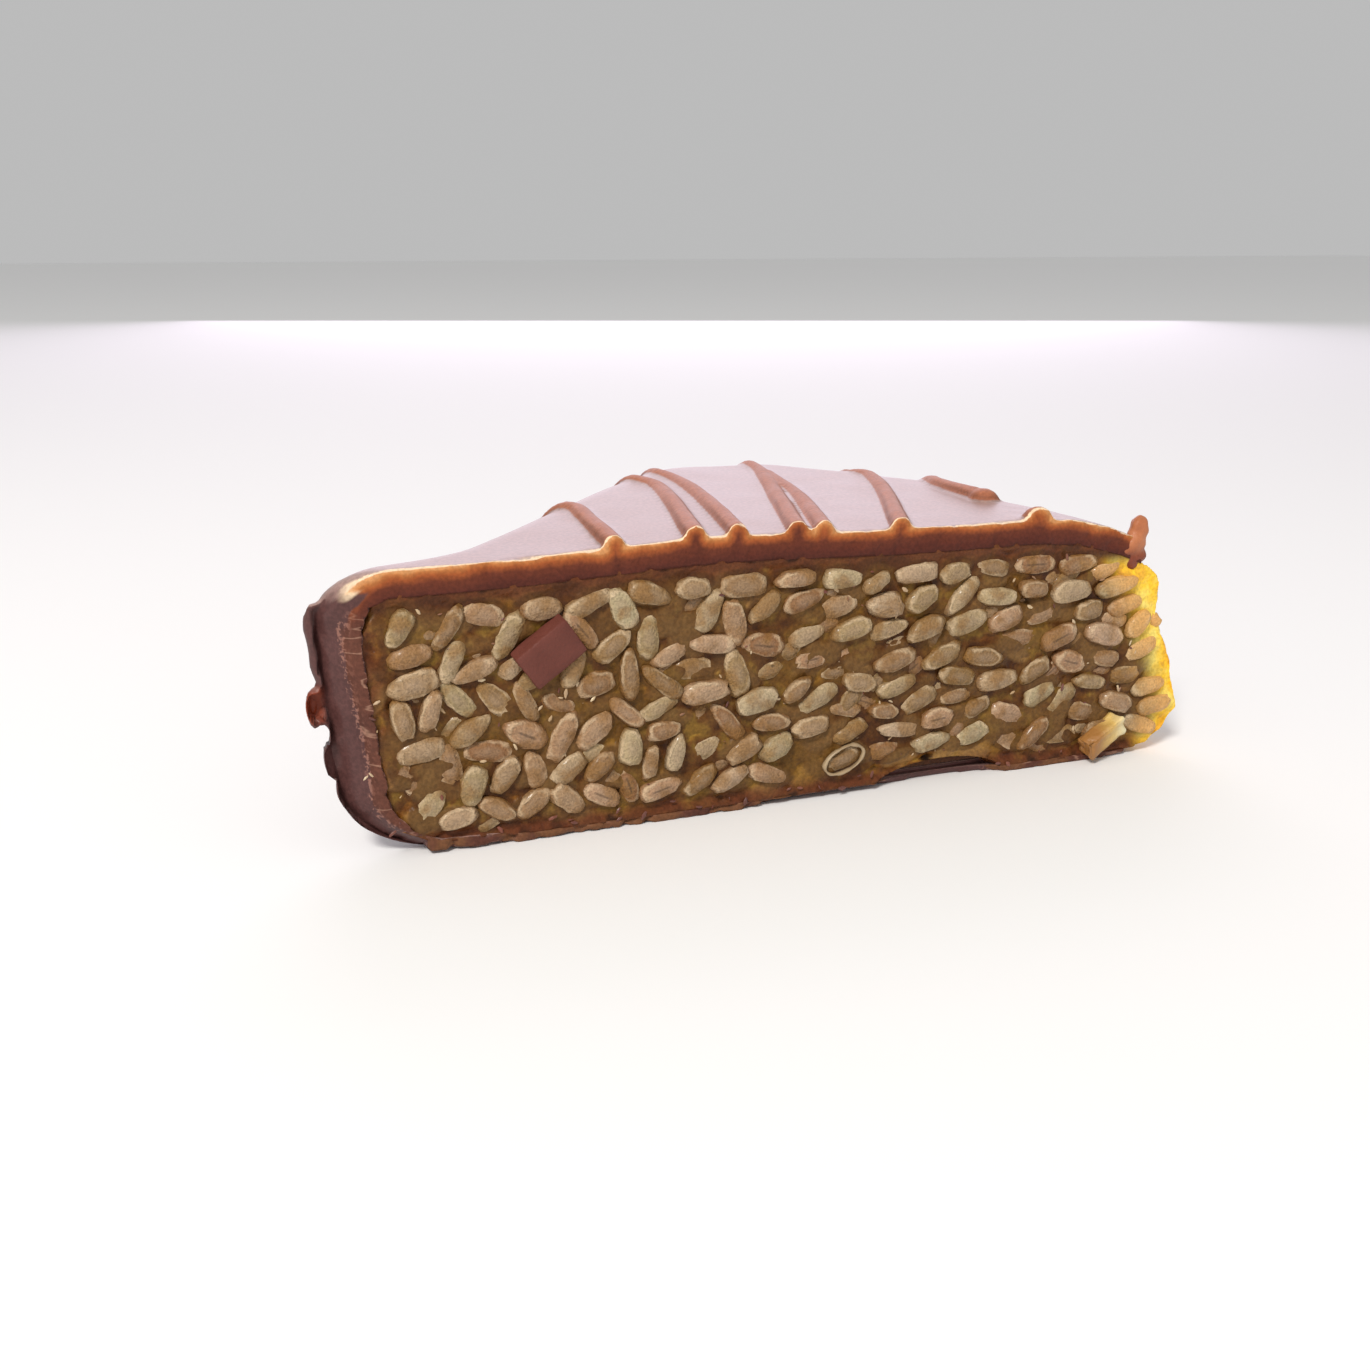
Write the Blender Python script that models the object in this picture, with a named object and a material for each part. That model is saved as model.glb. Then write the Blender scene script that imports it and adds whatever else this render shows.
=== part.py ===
"""Chocolate coated sesame snap, cut through from corner to corner.

X runs along the cut, from its coated left end to its broken right end, and Y runs to the back.
Z is up, and the snap rests on the plane Z = 0.
Sizes are in millimetres, and make_solid turns them into metres.
The coat and the filling are two solids. Drizzle is fused to the coat, seeds to the filling.
"""
import math

import bmesh
import bpy
import numpy as np
from mathutils import Vector

MM = 0.001

# Plan of the whole snap: X, Y and rounding radius of each corner, anticlockwise from above.
# The half in front of Y = 0 is cut away.
PLAN = (
    (-18.6, -7.0, 3.0),    # front left, on the half that is cut away
    (23.0, -7.0, 3.0),     # front right, on the same half
    (29.9, 0.4, 1.6),      # right tip
    (21.7, 7.7, 3.2),      # hollow behind the right tip
    (22.3, 15.8, 4.0),
    (12.6, 30.2, 5.0),     # back corner, blunt
    (2.2, 30.0, 7.0),
    (-20.0, 4.8, 9.0),     # hollow behind the left tip
    (-29.4, 2.3, 1.7),     # left tip
)
SMALLEST_RADIUS = 0.5
CORNER_STEPS = 4
EDGE_STEPS = 3
PLAN_CENTRE = (0.0, 3.0)

# Wall profile: height above the floor and inset from the plan.
BASE_RADIUS = 2.6
WALL_LEAN = 0.7
MIDWAY_LEAN = 0.8      # share of the lean that is left halfway up to the belly
BELLY_HEIGHT = 12.6
SHOULDER_RADIUS = 2.7
ARC_STEPS = 4
TOP_SCALES = (0.85, 0.62, 0.3)
BASE_SCALES = (0.3, 0.75)

# Top of the snap: flat height, the swell along the cut and the droop at the right end.
TOP_HEIGHT = 17.0
SWELL_HEIGHT = 0.45
SWELL_CENTRE = -4.0
SWELL_WIDTH = 9.0
DROOP_START = 18.0
DROOP_RATE = 0.028
LEFT_DROOP_START = -23.5
LEFT_DROOP_RATE = 0.055

# Lift of the underside towards the left end.
BASE_LIFT_START = -19.5
BASE_LIFT_RATE = 0.034

# Thickness of the chocolate and the clearance that keeps the two solids apart.
TOP_COAT = 1.6
WALL_COAT = 1.1
BASE_COAT = 0.75
GAP = 0.3

# Room for the filling: rise and extra inset of the rings at its foot, and its rounded top.
CAVITY_FOOT = ((0.0, 1.8), (0.5, 0.8), (1.8, 0.0))
CAVITY_LIP = 0.15
CAVITY_RADIUS = 1.0

# Broken right end: the filling's section there (X, Z), how far it goes back, and its taper.
BREAK_SECTION = (
    (21.0, 1.1), (27.4, 1.0), (29.6, 1.6), (30.6, 3.0), (29.8, 6.0),
    (28.3, 9.4), (27.4, 11.9), (25.9, 13.4), (21.0, 13.7),
)
BREAK_DEPTH = 3.4
BREAK_TAPER = 0.78
BREAK_CENTRE = (22.0, 6.5)
BREAK_FRONT = -2.0
BREAK_FULL_SHARE = 0.4     # share of the depth over which the section keeps its size
BREAK_CLEAR = 1.08
BREAK_CLEAR_DEPTH = 5.0    # extra depth for each unit of clearance

# Edge along which the coat tore off at the right end (X, Y), the heights between which it is
# gone, and a step further out near the top.
TORN_EDGE = ((26.1, -3.0), (26.4, 0.8), (27.3, 2.9), (33.0, 6.0), (33.0, -3.0))
TORN_HEIGHTS = (-1.0, 14.9)
TORN_STEP = 0.9
TORN_STEP_HEIGHTS = (14.0, 15.1)

# Hollow chipped out of the bottom edge of the cut, and the worn edge beside it:
# centre X and the three radii.
CHIP_X = 11.8
CHIP_RADII = (4.9, 2.4, 1.6)
WORN_X = 4.5
WORN_RADII = (6.5, 1.2, 0.4)
HOLLOW_SEGMENTS = 12
HOLLOW_RINGS = 8

# Corners of the room in front of the cut.
FRONT_LOW = (-60.0, -60.0, -30.0)
FRONT_HIGH = (60.0, 0.0, 60.0)

# Drizzle lines: points a little outside the skin that each line is laid under, from the cut
# over the far shoulder and down the back.
DRIZZLE = (
    ((-10.7, -1.5, 19), (-9.5, 9, 19), (-9.3, 12.5, 19), (-10.8, 15, 18), (-12.8, 16, 15.5),
     (-14.8, 16, 11), (-16, 15.5, 7)),
    ((-5.9, -1.5, 19), (-1.9, 15, 19), (-1.5, 20.5, 19), (-3.4, 24.5, 18), (-5.6, 26, 14.5),
     (-7.5, 26, 10), (-9, 25, 6.5)),
    ((-3.1, -1.5, 19), (0.2, 14, 19), (1.1, 22.5, 19), (0, 27.5, 18.5), (-1.8, 31, 15),
     (-3, 32, 10), (-4, 31, 6)),
    ((0.6, -1.5, 19), (7.2, 18, 19), (9.6, 26, 19), (9.6, 31, 18.5), (8.2, 33.5, 14),
     (6.8, 33, 9), (6.2, 33, 5.5)),
    ((2.4, -1.5, 19), (7.3, 13.5, 19), (9.3, 23.5, 19)),
    ((7.4, -1.5, 19), (13.8, 13, 19), (16.4, 20.5, 19), (17.3, 24.5, 18.5), (17.5, 27, 14.5),
     (16, 28.5, 10), (15.4, 29, 7)),
    ((18.5, 7.6, 19), (18.7, 12, 19), (19.4, 15.5, 19), (22, 19, 18), (24.5, 19, 13),
     (25, 18, 9)),
)
DRIZZLE_RADIUS = 0.66
DRIZZLE_SIDES = 6
DRIZZLE_STEP = 2.0
DRIZZLE_RISE = 0.12
DRIZZLE_SINK = 0.4
DRIZZLE_SINK_RATE = 1.6    # how much sooner than the line's end a line has sunk in
RUN_DOWN = ((-29.0, 1.0, 16.5), (-31.0, 1.9, 13.0), (-30.5, 1.7, 9.5))

# Small lumps of chocolate fused to the coat: centre and radii.
LUMPS = (
    ((26.3, 0.5, 15.1), (0.62, 0.65, 1.5)),      # nub standing on the right end of the top
    ((18.6, 7.6, 17.1), (0.95, 1.0, 0.65)),      # end of the short drizzle line
    ((18.2, 0.5, 17.0), (1.0, 0.9, 0.75)),       # low blob at the edge of the cut
    ((-27.7, 1.4, 9.2), (0.55, 0.75, 1.25)),     # drop on the left wall
    ((-27.0, 1.1, 6.0), (0.5, 0.6, 1.0)),        # smaller drop under it
)
LUMP_SEGMENTS = 8
LUMP_RINGS = 6

# Seeds on the cut: number, half length, half width and half thickness, and how deep they sit.
SEED_COUNT = 150
SEED_LENGTH = (1.35, 1.85)
SEED_WIDTH = (0.68, 0.95)
SEED_DEPTH = (0.55, 0.75)
SEED_SUNK = (0.12, 0.32)
SEED_SEGMENTS = 6
SEED_RINGS = 4
SEED_MARGIN = 0.2
LOOSE_END = -12.0
LAID_START = 2.0
LAID_ANGLE = 10.0
LAID_SPREAD = 15.0
LOOSE_SPREAD = 62.0
PUSH_ROUNDS = 400
PUSH_SHARE = 0.25
RANDOM_SEED = 11

# Section of the filling on the cut, for keeping the seeds on it.
FACE_LEFT = -24.2
FACE_CORNER = 4.8
FACE_RIGHT = ((1.2, 28.6), (3.2, 30.0), (6.0, 29.2), (9.4, 27.6), (11.9, 26.6), (14.5, 23.6))

# Chocolate shard stuck to the cut and pale chunk at the foot of the broken end.
SHARD_SIZE = (3.7, 1.3, 2.6)
SHARD_PLACE = (-14.6, -0.2, 11.6)
SHARD_TILT = (0.2, -0.62, 0.0)
CHUNK_SIZE = (2.6, 1.7, 1.3)
CHUNK_PLACE = (24.6, 0.1, 2.15)
CHUNK_TILT = (0.2, -0.25, 0.5)
PIECE_BEVEL = 0.25

# Colour, roughness and metallic of each material.
CHOCOLATE_LOOK = ((0.12, 0.045, 0.03, 1.0), 0.35, 0.0)
SEED_LOOK = ((0.42, 0.33, 0.2, 1.0), 0.5, 0.0)


def plan_ring(inset):
    """Return the plan as points, moved inwards by the inset, always with the same count."""
    corners = [Vector(corner[:2]) for corner in PLAN]
    radii = [corner[2] for corner in PLAN]
    count = len(corners)
    moved = []
    turns = []
    for index in range(count):
        before = (corners[index] - corners[index - 1]).normalized()
        after = (corners[(index + 1) % count] - corners[index]).normalized()
        turn = math.atan2(before.cross(after), before.dot(after))
        normal = Vector((-before.y - after.y, before.x + after.x)).normalized()
        moved.append(corners[index] + normal * inset / math.cos(turn / 2))
        turns.append(turn)
    arcs = []
    for index in range(count):
        before = (moved[index] - moved[index - 1]).normalized()
        shrink = inset if turns[index] > 0 else -inset
        radius = max(radii[index] - shrink, SMALLEST_RADIUS)
        reach = radius * math.tan(abs(turns[index]) / 2)
        start = moved[index] - before * reach
        side = Vector((-before.y, before.x)) * math.copysign(radius, turns[index])
        middle = start + side
        arc = []
        for step in range(CORNER_STEPS + 1):
            angle = turns[index] * step / CORNER_STEPS
            spoke = Vector((start - middle).to_tuple())
            spoke = Vector((
                spoke.x * math.cos(angle) - spoke.y * math.sin(angle),
                spoke.x * math.sin(angle) + spoke.y * math.cos(angle),
            ))
            arc.append(middle + spoke)
        arcs.append(arc)
    ring = []
    for index in range(count):
        ring.extend(arcs[index])
        start = arcs[index][-1]
        end = arcs[(index + 1) % count][0]
        for step in range(1, EDGE_STEPS):
            ring.append(start.lerp(end, step / EDGE_STEPS))
    return ring


def top_offset(x):
    """Return how far the top stands above its flat height at X."""
    swell = SWELL_HEIGHT * np.exp(-((x - SWELL_CENTRE) / SWELL_WIDTH) ** 2)
    right = DROOP_RATE * np.clip(x - DROOP_START, 0.0, None) ** 2
    left = LEFT_DROOP_RATE * np.clip(LEFT_DROOP_START - x, 0.0, None) ** 2
    return swell - right - left


def base_offset(x):
    """Return how far the underside is lifted at X."""
    return BASE_LIFT_RATE * np.clip(BASE_LIFT_START - x, 0.0, None) ** 2


def body_profile():
    """Return height and inset of the outer rings, from the base to the shoulder."""
    rings = []
    for step in range(ARC_STEPS):
        angle = math.pi / 2 * step / ARC_STEPS
        height = BASE_RADIUS * (1 - math.cos(angle))
        rings.append((height, WALL_LEAN + BASE_RADIUS * (1 - math.sin(angle))))
    rings.append((BASE_RADIUS, WALL_LEAN))
    rings.append((BELLY_HEIGHT / 2, WALL_LEAN * MIDWAY_LEAN))
    rings.append((BELLY_HEIGHT, 0.0))
    for step in range(1, ARC_STEPS + 1):
        angle = math.pi / 2 * step / ARC_STEPS
        height = TOP_HEIGHT - SHOULDER_RADIUS * (1 - math.sin(angle))
        rings.append((height, SHOULDER_RADIUS * (1 - math.cos(angle))))
    return rings


def cavity_profile(gap):
    """Return height and inset of the rings of the room for the filling, less the gap."""
    wall = WALL_COAT + gap
    low = BASE_COAT + gap
    high = TOP_HEIGHT - TOP_COAT - gap
    rings = [(low + rise, WALL_LEAN + wall + inset) for rise, inset in CAVITY_FOOT]
    rings.append((BELLY_HEIGHT, wall))
    rings.append((high - CAVITY_RADIUS, wall + CAVITY_LIP))
    rings.append((high, wall + CAVITY_RADIUS))
    return rings


def loft(profile):
    """Return vertices and faces of a body with the given rings, closed below and above."""
    low, low_inset = profile[0]
    high, high_inset = profile[-1]
    rings = []
    for scale in BASE_SCALES:
        rings.append([shrunk(point, scale, low) for point in plan_ring(low_inset)])
    for height, inset in profile:
        rings.append([(point.x, point.y, height) for point in plan_ring(inset)])
    for scale in TOP_SCALES:
        rings.append([shrunk(point, scale, high) for point in plan_ring(high_inset)])
    flat = [(*PLAN_CENTRE, low)]
    for ring in rings:
        flat.extend(ring)
    flat.append((*PLAN_CENTRE, high))
    verts = []
    for x, y, z in flat:
        share = (z - low) / (high - low)
        verts.append((x, y, z + top_offset(x) * share + base_offset(x) * (1 - share)))
    count = len(rings[0])
    last = len(verts) - 1
    faces = []
    for step in range(count):
        after = (step + 1) % count
        faces.append((0, 1 + after, 1 + step))
        faces.append((last - count + step, last - count + after, last))
        for ring in range(len(rings) - 1):
            base = 1 + ring * count
            faces.append((base + step, base + after, base + count + after, base + count + step))
    return verts, faces


def shrunk(point, scale, height):
    """Return a point of the plan drawn towards the plan's centre, at a height."""
    x = PLAN_CENTRE[0] + (point.x - PLAN_CENTRE[0]) * scale
    y = PLAN_CENTRE[1] + (point.y - PLAN_CENTRE[1]) * scale
    return x, y, height


def make_solid(name, verts, faces, look, home):
    """Make one object from millimetre geometry, with its faces turned outwards."""
    mesh = bpy.data.meshes.new(name)
    mesh.from_pydata([(x * MM, y * MM, z * MM) for x, y, z in verts], [], faces)
    work = bmesh.new()
    work.from_mesh(mesh)
    bmesh.ops.recalc_face_normals(work, faces=work.faces[:])
    work.to_mesh(mesh)
    work.free()
    mesh.materials.append(look)
    made = bpy.data.objects.new(name, mesh)
    home.objects.link(made)
    return made


def make_look(name, colour, roughness, metallic):
    """Make a Principled material."""
    look = bpy.data.materials.new(name)
    look.use_nodes = True
    shader = look.node_tree.nodes["Principled BSDF"]
    shader.inputs["Base Color"].default_value = colour
    shader.inputs["Roughness"].default_value = roughness
    shader.inputs["Metallic"].default_value = metallic
    return look


def hull_solid(name, points, look, home):
    """Make the convex body round a set of points."""
    work = bmesh.new()
    for point in points:
        work.verts.new(point)
    bmesh.ops.convex_hull(work, input=work.verts[:])
    loose = [vert for vert in work.verts if not vert.link_faces]
    bmesh.ops.delete(work, geom=loose, context="VERTS")
    work.verts.index_update()
    verts = [vert.co.to_tuple() for vert in work.verts]
    faces = [tuple(vert.index for vert in face.verts) for face in work.faces]
    work.free()
    return make_solid(name, verts, faces, look, home)


def ball_points(centre, radii, segments, rings, turn=None):
    """Return vertices and faces of an ellipsoid, turned by a 3 by 3 array."""
    verts = [(0.0, 0.0, 1.0)]
    for ring in range(1, rings):
        polar = math.pi * ring / rings
        for step in range(segments):
            around = 2 * math.pi * (step + 0.5 * (ring % 2)) / segments
            verts.append((
                math.sin(polar) * math.cos(around),
                math.sin(polar) * math.sin(around),
                math.cos(polar),
            ))
    verts.append((0.0, 0.0, -1.0))
    last = len(verts) - 1
    faces = []
    for step in range(segments):
        after = (step + 1) % segments
        faces.append((0, 1 + step, 1 + after))
        faces.append((last, last - segments + after, last - segments + step))
        for ring in range(rings - 2):
            low = 1 + ring * segments
            faces.append((low + step, low + segments + step, low + segments + after))
            faces.append((low + step, low + segments + after, low + after))
    shape = np.array(verts) * np.array(radii)
    if turn is not None:
        shape = shape @ np.array(turn).T
    return (shape + np.array(centre)).tolist(), faces


def box_solid(name, low, high, look, home):
    """Make a box between two opposite corners."""
    points = [(x, y, z) for x in (low[0], high[0]) for y in (low[1], high[1])
              for z in (low[2], high[2])]
    return hull_solid(name, points, look, home)


def boolean(target, operation, tools):
    """Cut or join a collection of solids and drop the tools."""
    change = target.modifiers.new(operation.title(), "BOOLEAN")
    change.operation = operation
    change.operand_type = "COLLECTION"
    change.collection = tools
    change.solver = "MANIFOLD"
    bpy.context.view_layer.objects.active = target
    bpy.ops.object.modifier_apply(modifier=change.name)
    for tool in list(tools.objects):
        bpy.data.objects.remove(tool)


def keep_largest(target):
    """Drop loose scraps, keeping the largest connected part."""
    work = bmesh.new()
    work.from_mesh(target.data)
    bmesh.ops.remove_doubles(work, verts=work.verts[:], dist=1e-7)
    unseen = set(work.verts)
    islands = []
    while unseen:
        front = [unseen.pop()]
        island = list(front)
        while front:
            for edge in front.pop().link_edges:
                for vert in edge.verts:
                    if vert in unseen:
                        unseen.remove(vert)
                        front.append(vert)
                        island.append(vert)
        islands.append(island)
    islands.sort(key=len)
    for island in islands[:-1]:
        bmesh.ops.delete(work, geom=island, context="VERTS")
    work.to_mesh(target.data)
    work.free()


def smooth_path(points, step):
    """Return points at an even step on a soft curve past the given ones."""
    given = [Vector(point) for point in points]
    padded = [given[0] * 2 - given[1], *given, given[-1] * 2 - given[-2]]
    path = []
    for index in range(1, len(padded) - 2):
        a, b, c, d = padded[index - 1:index + 3]
        count = max(1, round((c - b).length / step))
        for part in range(count):
            t = part / count
            path.append(0.5 * (2 * b + (c - a) * t + (2 * a - 5 * b + 4 * c - d) * t * t
                               + (3 * b - 3 * c + d - a) * t ** 3))
    path.append(given[-1])
    return path


def drape(body, points):
    """Lay points on the body's skin and return each with the skin's normal."""
    laid = []
    for point in points:
        found, place, normal, _ = body.closest_point_on_mesh(point * MM)
        if found:
            laid.append((place / MM, normal.normalized()))
    return laid


def rope(name, laid, radius, look, home):
    """Make a closed round bead along points on the skin, sinking in towards its far end."""
    verts = []
    faces = []
    sides = DRIZZLE_SIDES
    count = len(laid)
    for index, (place, normal) in enumerate(laid):
        rise = DRIZZLE_RISE - DRIZZLE_SINK * min(1.0, DRIZZLE_SINK_RATE * index / count)
        ahead = laid[min(index + 1, count - 1)][0] - laid[max(index - 1, 0)][0]
        across = ahead.normalized().cross(normal).normalized()
        up = across.cross(ahead.normalized()).normalized()
        for side in range(sides):
            angle = 2 * math.pi * (side + 0.5) / sides
            spoke = across * math.cos(angle) + up * math.sin(angle)
            verts.append((place + normal * rise + spoke * radius).to_tuple())
    for index in range(count - 1):
        for side in range(sides):
            after = (side + 1) % sides
            low = index * sides
            faces.append((low + side, low + after, low + sides + after, low + sides + side))
    faces.append(tuple(range(sides)))
    faces.append(tuple(reversed(range((count - 1) * sides, count * sides))))
    return make_solid(name, verts, faces, look, home)


def face_limits(x, z):
    """Return the room for a seed on the cut: left, right, bottom and top."""
    heights = [low for low, _ in FACE_RIGHT]
    reaches = [reach for _, reach in FACE_RIGHT]
    right = np.interp(z, heights, reaches)
    low_left = np.clip((FACE_CORNER - z) / FACE_CORNER, 0.0, 1.0)
    left = FACE_LEFT + FACE_CORNER * low_left ** 2
    top = TOP_HEIGHT - TOP_COAT - GAP + top_offset(x)
    hollow = np.clip(1 - ((x - CHIP_X) / CHIP_RADII[0]) ** 2, 0.0, 1.0)
    bottom = BASE_COAT + GAP + base_offset(x) + (CHIP_RADII[2] - BASE_COAT) * np.sqrt(hollow)
    return left, right, bottom, top


def scatter_seeds():
    """Spread seeds over the cut, loose at its left end and laid flatter to the right."""
    draw = np.random.default_rng(RANDOM_SEED)
    count = SEED_COUNT
    x = draw.uniform(FACE_LEFT, FACE_RIGHT[1][1], count)
    z = draw.uniform(BASE_COAT, TOP_HEIGHT - TOP_COAT, count)
    long_half = draw.uniform(*SEED_LENGTH, count)
    wide_half = draw.uniform(*SEED_WIDTH, count)
    deep_half = draw.uniform(*SEED_DEPTH, count)
    sunk = draw.uniform(*SEED_SUNK, count)
    loose = np.clip((LAID_START - x) / (LAID_START - LOOSE_END), 0.0, 1.0)
    spread = LAID_SPREAD + (LOOSE_SPREAD - LAID_SPREAD) * loose
    angle = np.radians(LAID_ANGLE + spread * draw.standard_normal(count))
    wide = np.sqrt((long_half * np.cos(angle)) ** 2 + (wide_half * np.sin(angle)) ** 2)
    tall = np.sqrt((long_half * np.sin(angle)) ** 2 + (wide_half * np.cos(angle)) ** 2)
    for _ in range(PUSH_ROUNDS):
        dx = x[:, None] - x[None, :]
        dz = z[:, None] - z[None, :]
        apart = np.hypot(dx, dz) + np.eye(count)
        toward = np.arctan2(dz, dx)
        turn = toward - angle[:, None]
        reach = 1 / np.hypot(np.cos(turn) / long_half[:, None], np.sin(turn) / wide_half[:, None])
        overlap = np.clip(reach + reach.T - apart, 0.0, None) * (1 - np.eye(count))
        x = x + PUSH_SHARE * (overlap * dx / apart).sum(axis=1)
        z = z + PUSH_SHARE * (overlap * dz / apart).sum(axis=1)
        left, right, bottom, top = face_limits(x, z)
        x = np.clip(x, left + wide + SEED_MARGIN, right - wide)
        z = np.clip(z, bottom + tall + SEED_MARGIN, top - tall - SEED_MARGIN)
    return np.stack([x, z, angle, long_half, wide_half, deep_half, sunk], axis=1)


def make_seeds(look, home):
    """Make one ellipsoid for each seed on the cut."""
    for index, row in enumerate(scatter_seeds()):
        x, z, angle, long_half, wide_half, deep_half, sunk = row
        turn = ((math.cos(angle), 0.0, -math.sin(angle)), (0.0, 1.0, 0.0),
                (math.sin(angle), 0.0, math.cos(angle)))
        lie = np.array(turn) @ np.array(((0.0, 0.0, 1.0), (1.0, 0.0, 0.0), (0.0, 1.0, 0.0)))
        radii = (deep_half, wide_half, long_half)
        verts, faces = ball_points((x, sunk, z), radii, SEED_SEGMENTS, SEED_RINGS, lie)
        make_solid(f"seed_{index}", verts, faces, look, home)


def break_points(clear):
    """Return the points round the broken end, grown by a factor about its middle."""
    points = []
    for x, z in BREAK_SECTION:
        wide = BREAK_CENTRE[0] + (x - BREAK_CENTRE[0]) * clear
        tall = BREAK_CENTRE[1] + (z - BREAK_CENTRE[1]) * clear
        points.append((wide, BREAK_FRONT, tall))
        points.append((wide, BREAK_DEPTH * BREAK_FULL_SHARE, tall))
        back_x = BREAK_CENTRE[0] + (wide - BREAK_CENTRE[0]) * BREAK_TAPER
        back_z = BREAK_CENTRE[1] + (tall - BREAK_CENTRE[1]) * BREAK_TAPER
        points.append((back_x, BREAK_DEPTH + (clear - 1) * BREAK_CLEAR_DEPTH, back_z))
    return points


def add_cutters(look, home):
    """Put the front half and the hollows at the bottom edge into the cutter collection."""
    box_solid("front_half", FRONT_LOW, FRONT_HIGH, look, home)
    for name, x, sizes in (("chip", CHIP_X, CHIP_RADII), ("worn", WORN_X, WORN_RADII)):
        verts, faces = ball_points((x, 0, 0), sizes, HOLLOW_SEGMENTS, HOLLOW_RINGS)
        make_solid(name, verts, faces, look, home)


def make_block(name, size, place, tilt, look, home):
    """Make a small tilted block with softened corners."""
    half = [side / 2 for side in size]
    cut = PIECE_BEVEL
    points = []
    for sx in (-1, 1):
        for sy in (-1, 1):
            for sz in (-1, 1):
                points.append(Vector((sx * (half[0] - cut), sy * half[1], sz * half[2])))
                points.append(Vector((sx * half[0], sy * half[1], sz * (half[2] - cut))))
    turned = []
    for point in points:
        for axis, angle in zip("XYZ", tilt):
            point = turn_about(point, axis, angle)
        turned.append((point + Vector(place)).to_tuple())
    return hull_solid(name, turned, look, home)


def turn_about(point, axis, angle):
    """Turn a point about one axis."""
    cos, sin = math.cos(angle), math.sin(angle)
    x, y, z = point
    if axis == "X":
        return Vector((x, y * cos - z * sin, y * sin + z * cos))
    if axis == "Y":
        return Vector((x * cos + z * sin, y, z * cos - x * sin))
    return Vector((x * cos - y * sin, x * sin + y * cos, z))


def make_coat(look, home, tools):
    """Make the coat: body and drizzle, hollowed, cut open and broken at the right end."""
    coat = make_solid("chocolate_coat", *loft(body_profile()), look, home)
    bpy.context.view_layer.update()
    for index, line in enumerate(DRIZZLE):
        laid = drape(coat, smooth_path(line, DRIZZLE_STEP))
        rope(f"drizzle_{index}", laid, DRIZZLE_RADIUS, look, tools)
    laid = drape(coat, smooth_path(RUN_DOWN, DRIZZLE_STEP))
    rope("run_down", laid, DRIZZLE_RADIUS, look, tools)
    for index, (centre, radii) in enumerate(LUMPS):
        verts, faces = ball_points(centre, radii, LUMP_SEGMENTS, LUMP_RINGS)
        make_solid(f"lump_{index}", verts, faces, look, tools)
    boolean(coat, "UNION", tools)
    make_solid("room", *loft(cavity_profile(0.0)), look, tools)
    boolean(coat, "DIFFERENCE", tools)
    hull_solid("break", break_points(BREAK_CLEAR), look, tools)
    points = [(x, y, z) for x, y in TORN_EDGE for z in TORN_HEIGHTS]
    hull_solid("torn", points, look, tools)
    points = [(x + TORN_STEP, y, z) for x, y in TORN_EDGE for z in TORN_STEP_HEIGHTS]
    hull_solid("torn_top", points, look, tools)
    add_cutters(look, tools)
    boolean(coat, "DIFFERENCE", tools)
    keep_largest(coat)
    return coat


def make_filling(look, home, tools):
    """Make the filling: core and broken end, cut flat, with the seeds and pieces fused on."""
    filling = make_solid("sesame_filling", *loft(cavity_profile(GAP)), look, home)
    hull_solid("end", break_points(1.0), look, tools)
    boolean(filling, "UNION", tools)
    add_cutters(look, tools)
    boolean(filling, "DIFFERENCE", tools)
    make_seeds(look, tools)
    make_block("shard", SHARD_SIZE, SHARD_PLACE, SHARD_TILT, look, tools)
    make_block("chunk", CHUNK_SIZE, CHUNK_PLACE, CHUNK_TILT, look, tools)
    boolean(filling, "UNION", tools)
    keep_largest(filling)
    return filling


def centre_on_origin(solids):
    """Move the solids so that their common box stands centred on the origin."""
    places = np.array([vert.co for solid in solids for vert in solid.data.vertices])
    low = places.min(axis=0)
    high = places.max(axis=0)
    shift = -Vector(((low[0] + high[0]) / 2, (low[1] + high[1]) / 2, low[2]))
    for solid in solids:
        for vert in solid.data.vertices:
            vert.co += shift
    print("shift mm", [round(value / MM, 3) for value in shift])
    print("size mm", [round(float(value) / MM, 2) for value in high - low])
    for solid in solids:
        solid.data.calc_loop_triangles()
        print(solid.name, len(solid.data.loop_triangles), "triangles")


def main():
    """Clear the scene and build the snap's two solids."""
    for old in list(bpy.data.objects):
        bpy.data.objects.remove(old)
    home = bpy.data.collections.new("sesame_snap")
    bpy.context.scene.collection.children.link(home)
    tools = bpy.data.collections.new("cutters")
    bpy.context.scene.collection.children.link(tools)
    chocolate = make_look("chocolate", *CHOCOLATE_LOOK)
    sesame = make_look("sesame", *SEED_LOOK)
    coat = make_coat(chocolate, home, tools)
    filling = make_filling(sesame, home, tools)
    centre_on_origin((coat, filling))


main()
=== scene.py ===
# %% [markdown]
# # A chocolate coated sesame snap, cut open
#
# This lesson dresses a small sweet: a thick snap of whole sesame seeds set in caramel, under a
# drizzled milk chocolate coat. The snap was cut from corner to corner, so one flat side shows
# the seeds, and the coat runs round them as a thin dark frame.
#
# The packed model fixes where everything is. Every piece made here stays inside its box.

import math

import bmesh
import bpy
import numpy as np
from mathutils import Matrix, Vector, noise
from mathutils.bvhtree import BVHTree


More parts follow.
